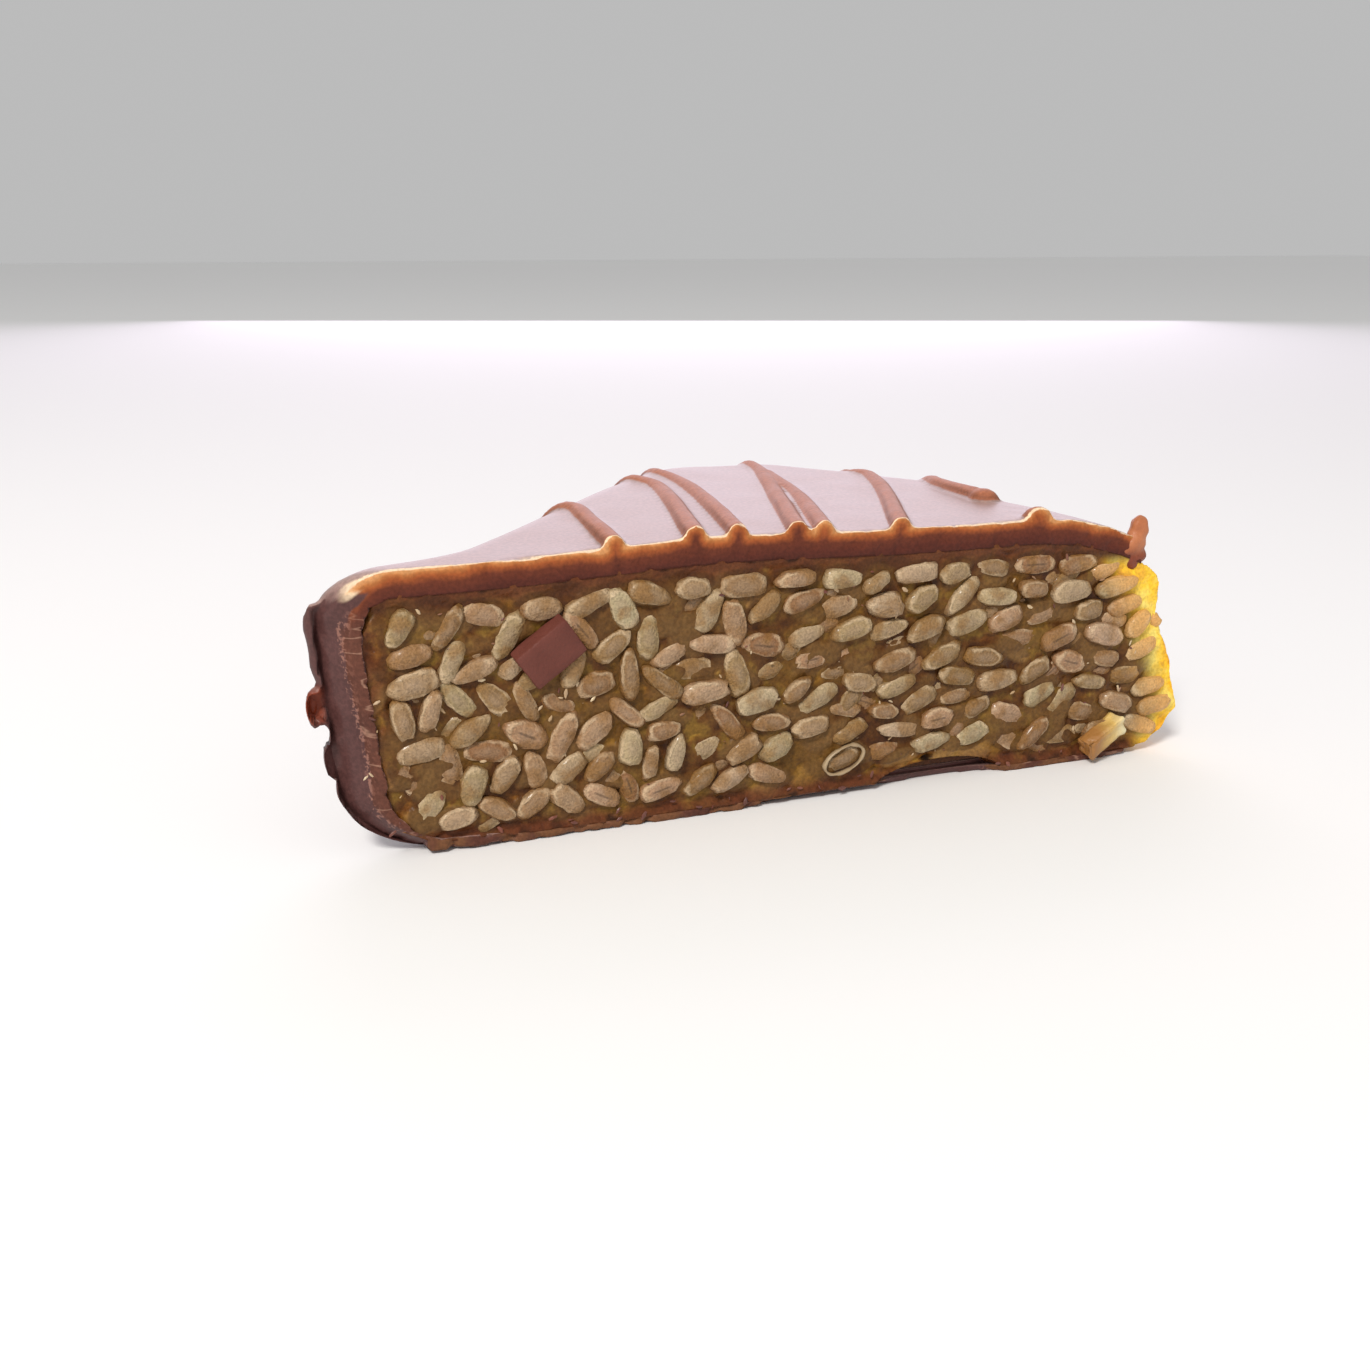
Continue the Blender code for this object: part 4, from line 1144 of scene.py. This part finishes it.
class Finish:
    """A material being mixed, with a short word for each kind of node."""

    def __init__(self, name):
        self.paint = bpy.data.materials.new(name)
        self.paint.use_nodes = True
        self.nodes = self.paint.node_tree.nodes
        self.links = self.paint.node_tree.links
        self.shader = self.nodes["Principled BSDF"]

    def feed(self, socket, value):
        """Set a socket to a number or a colour, or link another node's output to it."""
        if isinstance(value, (int, float)):
            socket.default_value = value
        elif isinstance(value, tuple):
            socket.default_value = (*value, 1.0)
        else:
            self.links.new(value, socket)

    def set(self, **values):
        """Feed sockets of the shader, named with underscores for spaces."""
        for name, value in values.items():
            self.feed(self.shader.inputs[name.replace("_", " ")], value)

    def number(self, name):
        """Read one of the numbers kept on the points."""
        node = self.nodes.new("ShaderNodeAttribute")
        node.attribute_name = name
        return node.outputs["Fac"]

    def place(self):
        """Return the X, Y and Z of the shaded point, in millimetres of the packed frame."""
        coordinates = self.nodes.new("ShaderNodeTexCoord")
        apart = self.nodes.new("ShaderNodeSeparateXYZ")
        self.links.new(coordinates.outputs["Object"], apart.inputs[0])
        return [self.sum("MULTIPLY", socket, 1 / MM) for socket in apart.outputs]

    def mottle(self, patch_size, grain_size):
        """Place the shared pattern at its own sizes and return its patches and its grain."""
        node = self.nodes.new("ShaderNodeGroup")
        node.node_tree = soft_mottle
        node.inputs["Patch Size"].default_value = patch_size
        node.inputs["Grain Size"].default_value = grain_size
        return node.outputs["Patch"], node.outputs["Grain"]

    def ramp(self, factor, stops):
        """Turn a number into a colour by stops."""
        node = self.nodes.new("ShaderNodeValToRGB")
        while len(node.color_ramp.elements) < len(stops):
            node.color_ramp.elements.new(0.5)
        for element, (spot, colour) in zip(node.color_ramp.elements, stops):
            element.position = spot
            element.color = (*colour, 1.0)
        self.links.new(factor, node.inputs["Fac"])
        return node.outputs["Color"]

    def mix(self, factor, first, second, blend="MIX"):
        """Mix two colours by a number."""
        node = self.nodes.new("ShaderNodeMix")
        node.data_type = "RGBA"
        node.blend_type = blend
        for index, value in ((0, factor), (6, first), (7, second)):
            self.feed(node.inputs[index], value)
        return node.outputs[2]

    def speckle(self, colour, grain, dark, light):
        """Make a colour darker and lighter with the fine grain."""
        return self.mix(1.0, colour, self.step(grain, *PATTERN_RANGE, dark, light), "MULTIPLY")

    def sum(self, operation, first, second=0.0):
        """Work out one number from two."""
        node = self.nodes.new("ShaderNodeMath")
        node.operation = operation
        self.feed(node.inputs[0], first)
        self.feed(node.inputs[1], second)
        return node.outputs[0]

    def both(self, *masks):
        """Multiply masks, so that only their common area is left."""
        common = masks[0]
        for mask in masks[1:]:
            common = self.sum("MULTIPLY", common, mask)
        return common

    def step(self, value, low, high, start=0.0, end=1.0):
        """Turn a number into a soft step between two values."""
        node = self.nodes.new("ShaderNodeMapRange")
        node.interpolation_type = "SMOOTHSTEP"
        self.links.new(value, node.inputs["Value"])
        for name, number in zip(("From Min", "From Max", "To Min", "To Max"), (low, high, start, end)):
            node.inputs[name].default_value = number
        return node.outputs[0]

    def fade(self, value, low, high):
        """Return 1 below low and 0 above high."""
        return self.step(value, low, high, 1.0, 0.0)

    def bump(self, height, distance):
        """Let a pattern stand up from the surface by a distance in millimetres."""
        node = self.nodes.new("ShaderNodeBump")
        node.inputs["Distance"].default_value = distance * MM
        self.links.new(height, node.inputs["Height"])
        self.links.new(node.outputs["Normal"], self.shader.inputs["Normal"])

    def dress(self, *pieces):
        """Give the finish to pieces as their only material."""
        for piece in pieces:
            piece.data.materials.clear()
            piece.data.materials.append(self.paint)


print("words for a finish:", ", ".join(word for word in vars(Finish) if not word.startswith("_")))

# %% [markdown]
# ## A shared pattern of patches and grain
#
# No food is one even colour. Chocolate, caramel and seeds all have soft patches and a fine
# grain, each at its own size, so the pattern is built once as a node group and used by every
# material with its own numbers. It reads object coordinates, so it stays put on the piece.

# %% Shared pattern


def make_mottle():
    """Build the node group of soft patches and fine grain."""
    group = bpy.data.node_groups.new("soft_mottle", "ShaderNodeTree")
    for name, size in (("Patch Size", 1.5), ("Grain Size", 0.2)):
        socket = group.interface.new_socket(name=name, in_out="INPUT", socket_type="NodeSocketFloat")
        socket.default_value = size
    for name in ("Patch", "Grain"):
        group.interface.new_socket(name=name, in_out="OUTPUT", socket_type="NodeSocketFloat")
    nodes, links = group.nodes, group.links
    given, made = nodes.new("NodeGroupInput"), nodes.new("NodeGroupOutput")
    coordinates = nodes.new("ShaderNodeTexCoord")
    for name, detail in (("Patch", 3.0), ("Grain", 2.0)):
        scale = nodes.new("ShaderNodeMath")
        scale.operation = "DIVIDE"
        scale.inputs[0].default_value = 1 / MM
        links.new(given.outputs[name + " Size"], scale.inputs[1])
        pattern = nodes.new("ShaderNodeTexNoise")
        pattern.inputs["Detail"].default_value = detail
        links.new(coordinates.outputs["Object"], pattern.inputs["Vector"])
        links.new(scale.outputs[0], pattern.inputs["Scale"])
        links.new(pattern.outputs["Fac"], made.inputs[name])
    return group


soft_mottle = make_mottle()
print("shared pattern with", len(soft_mottle.nodes), "nodes")

# %% [markdown]
# ## Milk chocolate, cut through
#
# Where the knife went through it, the coat is crumbled and shows bands that follow the skin:
# a painted pale highlight at the very edge, a painted orange glow where light soaks in, then dark
# red-brown. The depth below the skin draws the bands, and patches make them uneven. The left wall
# and the base were torn more than cut: they are dull, without bands, and crossed by thin pale
# cracks.

# %% Milk chocolate, cut through
# The first stops are a painted orange glow of light soaking into the thin edge; the deeper stops are the
# chocolate's own dark colour.
CUT_BANDS_WITH_GLOW = (
    (0.0, (0.6, 0.27, 0.1)), (0.06, (0.46, 0.16, 0.045)), (0.17, (0.34, 0.085, 0.022)),
    (0.33, (0.135, 0.031, 0.014)), (0.6, (0.095, 0.021, 0.012)), (0.9, (0.065, 0.015, 0.009)))
BANDS_DEPTH = 2.0
TORN_DARK, TORN_LIGHT = (0.06, 0.019, 0.014), (0.17, 0.06, 0.036)
CRACK_COLOUR, CRACK_WIDTH = (0.4, 0.22, 0.15), 0.016
CRACK_STRETCH = (0.13, 0.6)
LEFT_BAND_X, LEFT_BAND_Z, FOOT_BAND_Z = (-24.6, -23.0), (13.6, 15.4), (2.4, 4.0)

cocoa = Finish("milk_chocolate")
x, y, z = cocoa.place()
patch, grain = cocoa.mottle(2.2, 0.22)
uneven = cocoa.sum("MULTIPLY", cocoa.sum("SUBTRACT", patch, 0.5), 0.9)
depth = cocoa.sum("ADD", cocoa.number("depth"), uneven)
depth = cocoa.sum("SUBTRACT", depth, cocoa.step(x, -24.0, 2.0, 0.2, 0.0))
banded_with_glow = cocoa.ramp(cocoa.sum("DIVIDE", depth, BANDS_DEPTH), CUT_BANDS_WITH_GLOW)
on_left_band = cocoa.both(cocoa.fade(x, *LEFT_BAND_X), cocoa.fade(z, *LEFT_BAND_Z))
dull = cocoa.sum("MAXIMUM", cocoa.fade(z, *FOOT_BAND_Z), on_left_band)
crack = cocoa.nodes.new("ShaderNodeTexNoise")
crack.inputs["Scale"].default_value = 1.0
crack.inputs["Detail"].default_value = 3.0
stretch = cocoa.nodes.new("ShaderNodeCombineXYZ")
cocoa.links.new(cocoa.sum("MULTIPLY", x, CRACK_STRETCH[0]), stretch.inputs["X"])
cocoa.links.new(cocoa.sum("MULTIPLY", z, CRACK_STRETCH[1]), stretch.inputs["Z"])
cocoa.links.new(stretch.outputs[0], crack.inputs["Vector"])
off_crack = cocoa.sum("ABSOLUTE", cocoa.sum("SUBTRACT", crack.outputs["Fac"], 0.5))
torn = cocoa.mix(patch, TORN_DARK, TORN_LIGHT)
torn = cocoa.mix(cocoa.step(off_crack, 0.0, CRACK_WIDTH, 0.6, 0.0), torn, CRACK_COLOUR)
cut_colour = cocoa.mix(dull, banded_with_glow, torn)
print("bands of the cut", len(CUT_BANDS_WITH_GLOW))

# %% [markdown]
# ## Milk chocolate, poured
#
# Outside, the coat is a satin brown that mirrors the sky on top, so its top is painted a paler
# colour for that reflection and given a clear gloss, and its walls are painted darker for shade.
# The drizzle is a redder chocolate, painted lighter on top and darker on the walls in the same
# way. One drop at the left end is painted dark red, for the light that shines through it.

# %% Milk chocolate, poured
# Painted light: the top colours are paler for the sky the top mirrors, the wall colours darker for shade,
# and the bead colours are lit and shaded copies.
SHADED_WALL_DARK, SHADED_WALL_LIGHT = (0.055, 0.018, 0.016), (0.13, 0.055, 0.05)
SHEEN_TOP_DARK, SHEEN_TOP_LIGHT = (0.33, 0.2, 0.17), (0.4, 0.25, 0.215)
SHADED_BEAD_ON_WALL, SHEEN_BEAD_ON_TOP = (0.155, 0.052, 0.028), (0.42, 0.145, 0.072)
BEADS_START_X = (-26.5, -24.5)
# The drop's colours are painted light: dark red and orange for the light that shines through it.
LIT_DROP_DARK, LIT_DROP_LIGHT = (0.1, 0.012, 0.008), (0.36, 0.07, 0.02)
DROP_HEIGHT, DROP_REACH, DROP_X, DROP_Y = 9.4, (0.7, 1.3), (-28.6, -28.1), (-14.3, -13.9)

# Painted light: faces that look up get the paler sheen colours, the walls the darker shaded ones.
upward = cocoa.step(cocoa.number("up"), 0.35, 0.9)
shaded_wall_colour = cocoa.mix(patch, SHADED_WALL_DARK, SHADED_WALL_LIGHT)
skin = cocoa.mix(upward, shaded_wall_colour, cocoa.mix(patch, SHEEN_TOP_DARK, SHEEN_TOP_LIGHT))
on_bead = cocoa.both(cocoa.step(cocoa.number("bead"), 0.03, 0.2), cocoa.step(x, *BEADS_START_X))
skin = cocoa.mix(on_bead, skin, cocoa.mix(upward, SHADED_BEAD_ON_WALL, SHEEN_BEAD_ON_TOP))
from_drop = cocoa.sum("ABSOLUTE", cocoa.sum("SUBTRACT", z, DROP_HEIGHT))
on_drop = cocoa.both(cocoa.fade(x, *DROP_X), cocoa.fade(from_drop, *DROP_REACH), cocoa.step(y, *DROP_Y))
skin = cocoa.mix(on_drop, skin, cocoa.mix(patch, LIT_DROP_DARK, LIT_DROP_LIGHT))
print("wall, top and bead colours mixed")

# %% [markdown]
# ## Milk chocolate, put together
#
# The cut and the poured skin meet in a sharp edge. Along the top a thin pale line is painted on
# it as a highlight where it catches the light, and along the torn parts only chips of it get this
# painted highlight. The gloss is left off the cut, and grain over everything keeps it from
# looking like plastic.

# %% Milk chocolate, put together
# The first two colours are painted highlights: a pale line along the cut's top edge and pale chips along its
# torn parts.
EDGE_HIGHLIGHT, CHIP_HIGHLIGHT, FOOT_COLOUR = (0.95, 0.72, 0.48), (0.36, 0.17, 0.12), (0.17, 0.07, 0.03)
EDGE_HIGHLIGHT_X, EDGE_HIGHLIGHT_Z, FOOT_Z = (-27.6, -26.4), (14.4, 15.3), (0.9, 1.6)
STUB_COLOURS, STUB_FOOT_Z = ((0.4, 0.12, 0.045), (0.56, 0.22, 0.1)), (13.9, 14.9)
TORN_COLOURS = ((0.12, 0.02, 0.012), (0.3, 0.08, 0.035))

facing_cut = cocoa.number("cut_face")
on_cut = cocoa.step(facing_cut, 0.4, 0.7)
on_edge = cocoa.both(cocoa.step(facing_cut, 0.02, 0.2), cocoa.fade(facing_cut, 0.5, 0.85))
painted_edge_highlight = cocoa.both(
    on_edge, cocoa.step(dull, 0.0, 1.0, 0.9, 0.0), cocoa.fade(cocoa.number("depth"), 0.25, 0.45),
    cocoa.step(z, *EDGE_HIGHLIGHT_Z), cocoa.step(x, *EDGE_HIGHLIGHT_X))
painted_chip_highlight = cocoa.both(on_edge, cocoa.step(grain, 0.5, 0.62, 0.0, 0.55), dull)
at_foot = cocoa.both(cocoa.fade(z, *FOOT_Z), cocoa.step(patch, 0.4, 0.6), on_cut)
colour = cocoa.mix(on_cut, skin, cut_colour)
colour = cocoa.mix(painted_edge_highlight, colour, EDGE_HIGHLIGHT)
colour = cocoa.mix(painted_chip_highlight, colour, CHIP_HIGHLIGHT)
colour = cocoa.mix(at_foot, colour, FOOT_COLOUR)
gloss = cocoa.both(cocoa.sum("SUBTRACT", 1.0, on_cut), cocoa.step(on_bead, 0.0, 1.0, 0.9, 0.22),
                   cocoa.step(upward, 0.0, 1.0, 0.22, 0.94))
cocoa.set(Base_Color=cocoa.speckle(colour, grain, 0.84, 1.12),
          Roughness=cocoa.step(patch, *PATTERN_RANGE, 0.5, 0.6),
          Specular_IOR_Level=0.2, Coat_Roughness=0.3, Coat_Weight=gloss)
cocoa.bump(grain, 0.03)
cocoa.dress(coat)

stub = Finish("broken_chocolate")
patch, grain = stub.mottle(1.0, 0.2)
_, _, z = stub.place()
stub_colour, torn_bits = stub.mix(patch, *STUB_COLOURS), stub.mix(patch, *TORN_COLOURS)
stub.set(Base_Color=stub.mix(stub.fade(z, *STUB_FOOT_Z), stub_colour, torn_bits),
         Roughness=0.45, Specular_IOR_Level=0.3)
stub.bump(grain, 0.05)
stub.dress(nub)
print("milk chocolate has", len(cocoa.nodes), "nodes")

# %% [markdown]
# ## Caramel
#
# The caramel is clear sugar: brown where it is deep, olive yellow where light gets through, and
# at the thin broken end painted bright yellow with a painted glow, for the light that shines
# through it. Seeds lying deeper show through it as soft pale spots.
# The numbers on the points say where each of these is, and the shared pattern breaks them up.

# %% Caramel
CARAMEL_TINTS = (
    (0.4, (0.075, 0.022, 0.005)), (0.47, (0.15, 0.052, 0.008)), (0.54, (0.23, 0.098, 0.018)),
    (0.61, (0.36, 0.2, 0.032)))
OLIVE_DARK, OLIVE_LIGHT = (0.22, 0.095, 0.014), (0.38, 0.215, 0.03)
SUNK_SEED_DARK, SUNK_SEED_LIGHT = (0.2, 0.09, 0.022), (0.38, 0.22, 0.075)
# On the next line, the second and third colours are painted shade: the dark inside the pits and a contact
# shadow round each seed.
COCOA_SMEAR, PIT_SHADE_COLOUR, SEED_CONTACT_SHADOW = (0.115, 0.034, 0.014), (0.04, 0.016, 0.008), (0.05, 0.02, 0.008)
# Painted light: the broken end is painted bright yellow and made to glow, for the light that shines through
# it.
LIT_YELLOWS = ((0.36, (0.6, 0.23, 0.045)), (0.48, (0.84, 0.5, 0.03)), (0.62, (0.8, 0.66, 0.17)))
LIT_GLOW = (0.16, 0.1, 0.01)

amber = Finish("caramel_amber")
patch, grain = amber.mottle(1.7, 0.22)
blotch, _ = amber.mottle(0.6, 0.1)
patch = amber.sum("ADD", amber.sum("MULTIPLY", patch, 0.72), amber.sum("MULTIPLY", blotch, 0.28))
broad, _ = amber.mottle(4.5, 0.3)
tint = amber.mix(amber.step(broad, 0.5, 0.62, 0.0, 0.6), amber.ramp(patch, CARAMEL_TINTS),
                 amber.mix(blotch, OLIVE_DARK, OLIVE_LIGHT))
over_seed = amber.both(amber.step(amber.number("swell"), 0.1, 0.8),
                       amber.step(amber.number("tone"), 0.0, 1.0, 0.35, 0.95))
tint = amber.mix(over_seed, tint, amber.mix(blotch, SUNK_SEED_DARK, SUNK_SEED_LIGHT))
tint = amber.mix(amber.step(amber.number("to_coat"), 0.3, 1.9, 0.92, 0.0), tint, COCOA_SMEAR)
# Painted shade: the pits are darkened, and a dark contact shadow is drawn round each seed.
tint = amber.mix(amber.number("pit"), tint, PIT_SHADE_COLOUR)
tint = amber.mix(amber.step(amber.number("near_seed"), 0.0, 0.2, 0.6, 0.0), tint, SEED_CONTACT_SHADOW)
glow = amber.number("end_glow")
cloud, _ = amber.mottle(2.6, 0.3)
tint = amber.mix(glow, tint, amber.ramp(cloud, LIT_YELLOWS))
amber.set(Base_Color=amber.speckle(tint, grain, 0.82, 1.16),
          Roughness=amber.step(patch, *PATTERN_RANGE, 0.2, 0.42), Specular_IOR_Level=0.14,
          Emission_Color=amber.mix(glow, (0.0, 0.0, 0.0), LIT_GLOW), Emission_Strength=1.0)
amber.bump(grain, 0.06)
amber.dress(caramel, core)
print("caramel has", len(amber.nodes), "nodes")

# %% [markdown]
# ## Sesame
#
# The kernels are beige, some greener and some pinker, and a few are painted pale green for a
# greenish sheen. Each has a paler rim, partly its own margin and partly a painted sheen where the
# thin skin is seen edge on. Their caramel film stains them and makes them a little glossy. Each
# seed carries its own tone, and the place across and along the seed draws rim, film and crease.

# %% Sesame
KERNEL_TONES = (
    (0.0, (0.23, 0.118, 0.045)), (0.3, (0.31, 0.19, 0.093)), (0.7, (0.38, 0.255, 0.145)),
    (1.0, (0.45, 0.33, 0.21)))
# The first stops tint a few seeds pale green: partly their own hue and partly a painted greenish sheen.
KERNEL_HUES_AND_SHEEN = (
    (0.0, (1.15, 1.3, 1.3)), (0.06, (1.12, 1.26, 1.24)), (0.08, (0.93, 1.05, 0.97)),
    (0.5, (1.0, 1.0, 1.0)), (1.0, (1.08, 0.94, 0.96)))
HEART_DARK, HEART_LIGHT = (0.19, 0.13, 0.075), (0.4, 0.28, 0.19)
RIM_AND_SHEEN_COLOUR, FILM_COLOUR, STAIN_COLOUR = (0.62, 0.46, 0.29), (0.19, 0.08, 0.018), (0.24, 0.115, 0.028)
CREASE_COLOUR = (0.08, 0.045, 0.025)
LIT_SEED_DARK, LIT_SEED_LIGHT, LIT_SEED_GLOW = (0.55, 0.26, 0.08), (0.7, 0.42, 0.16), (0.11, 0.062, 0.016)

kernel = Finish("sesame_kernel")
patch, grain = kernel.mottle(0.7, 0.14)
wide, _ = kernel.mottle(1.6, 0.3)
hue_number = kernel.number("seed_hue")
colour = kernel.mix(1.0, kernel.ramp(kernel.number("seed_tone"), KERNEL_TONES),
                    kernel.ramp(hue_number, KERNEL_HUES_AND_SHEEN), "MULTIPLY")
across, along = kernel.number("across"), kernel.number("along")
reach = kernel.sum("SQRT", kernel.sum("ADD", kernel.sum("MULTIPLY", across, across),
                                      kernel.sum("MULTIPLY", along, along)))
reach = kernel.sum("ADD", reach, kernel.sum("MULTIPLY", kernel.sum("SUBTRACT", patch, 0.5), 0.55))
colour = kernel.mix(kernel.step(reach, 0.2, 0.7, 0.45, 0.0), colour,
                    kernel.mix(wide, HEART_DARK, HEART_LIGHT))
# The rim is painted paler: partly the seed's own margin and partly a painted sheen on the edge.
rim = kernel.both(kernel.step(reach, 0.55, 0.76), kernel.fade(reach, 0.82, 0.95),
                  kernel.step(wide, 0.42, 0.6, 0.05, 0.6))
colour = kernel.mix(rim, colour, RIM_AND_SHEEN_COLOUR)
colour = kernel.mix(kernel.step(reach, 0.8, 1.05, 0.0, 0.7), colour, FILM_COLOUR)
colour = kernel.mix(kernel.step(wide, 0.36, 0.52, 0.6, 0.0), colour, STAIN_COLOUR)
crease = kernel.both(kernel.fade(kernel.sum("ABSOLUTE", across), 0.03, 0.13),
                     kernel.fade(kernel.sum("ABSOLUTE", along), 0.3, 0.55),
                     kernel.step(hue_number, 0.92, 0.93, 0.0, 0.6))
colour = kernel.mix(crease, colour, CREASE_COLOUR)
# Painted light: seeds at the broken end are painted peach and made to glow, for the light that shines
# through them.
lit = kernel.number("end_glow")
colour = kernel.mix(kernel.sum("MULTIPLY", lit, 0.9), colour,
                    kernel.mix(patch, LIT_SEED_DARK, LIT_SEED_LIGHT))
kernel.set(Base_Color=kernel.speckle(colour, grain, 0.84, 1.16),
           Emission_Color=kernel.mix(lit, (0.0, 0.0, 0.0), LIT_SEED_GLOW), Emission_Strength=1.0,
           Roughness=kernel.step(grain, *PATTERN_RANGE, 0.32, 0.55), Specular_IOR_Level=0.18,
           Coat_Roughness=0.16, Coat_Weight=kernel.step(patch, 0.5, 0.64, 0.0, 0.45))
relief = kernel.sum("ADD", kernel.sum("ADD", grain, kernel.sum("MULTIPLY", patch, 2.0)),
                    kernel.sum("MULTIPLY", rim, 1.2))
kernel.bump(relief, 0.09)
kernel.dress(front_seeds, back_seeds, end_seeds)
print("sesame has", len(kernel.nodes), "nodes")

# %% [markdown]
# ## Shard, crumbs, husk and chunk
#
# The small pieces get plain recipes of their own. The shard is the coat's chocolate without its
# gloss, the crumbs go from husk to chocolate by a number that each one carries, the husk is pale
# skin, and the chunk fades from caramel to sugar along its length.

# %% Shard, crumbs, husk and chunk finish
CRUMB_COLOURS = (
    (0.0, (0.62, 0.47, 0.3)), (0.55, (0.5, 0.33, 0.17)), (0.7, (0.2, 0.06, 0.035)),
    (1.0, (0.12, 0.04, 0.03)))
CHUNK_COLOURS = ((0.0, (0.36, 0.16, 0.04)), (0.45, (0.7, 0.47, 0.14)), (1.0, (0.82, 0.76, 0.5)))
CHUNK_X = (22.6, 26.0)
FLAKE_COLOURS = ((0.115, 0.03, 0.021), (0.17, 0.05, 0.036))
HUSK_COLOURS = ((0.26, 0.17, 0.09), (0.5, 0.38, 0.23))

flake = Finish("dark_flake")
patch, grain = flake.mottle(1.4, 0.2)
flake.set(Base_Color=flake.mix(patch, *FLAKE_COLOURS), Roughness=0.5, Specular_IOR_Level=0.25)
flake.bump(grain, 0.05)
flake.dress(shard)

scrap = Finish("husk_scraps")
patch, _ = scrap.mottle(0.8, 0.15)
scrap_colour = scrap.ramp(scrap.number("kind"), CRUMB_COLOURS)
scrap.set(Base_Color=scrap.mix(0.5, scrap_colour, patch, "OVERLAY"), Roughness=0.4)
scrap.dress(crumbs)

skin_ring = Finish("husk_ring")
patch, _ = skin_ring.mottle(0.8, 0.15)
skin_ring.set(Base_Color=skin_ring.mix(patch, *HUSK_COLOURS), Roughness=0.35)
skin_ring.dress(husk)

sugar = Finish("pale_sugar")
patch, grain = sugar.mottle(1.8, 0.25)
x, _, _ = sugar.place()
to_right = sugar.sum("ADD", x, sugar.sum("MULTIPLY", patch, 1.6))
sugar.set(Base_Color=sugar.ramp(sugar.step(to_right, *CHUNK_X), CHUNK_COLOURS), Roughness=0.4)
sugar.bump(grain, 0.06)
sugar.dress(chunk)
print("finishes", sorted(paint.name for paint in bpy.data.materials))

# %% [markdown]
# ## Fitting the pieces to the packed model
#
# The snap is one body, so every piece rides on its root. The poured coat and the stub take the
# place of the plain coat, and everything inside takes the place of the plain filling.

# %% Fitting the pieces to the packed model
coat_pieces = (coat, nub)
filling_pieces = (caramel, core, front_seeds, back_seeds, end_seeds, shard, chunk, husk, crumbs)
for piece in coat_pieces:
    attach(piece, "root")
    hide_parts("chocolate_coat")
for piece in filling_pieces:
    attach(piece, "root")
    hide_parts("sesame_filling")
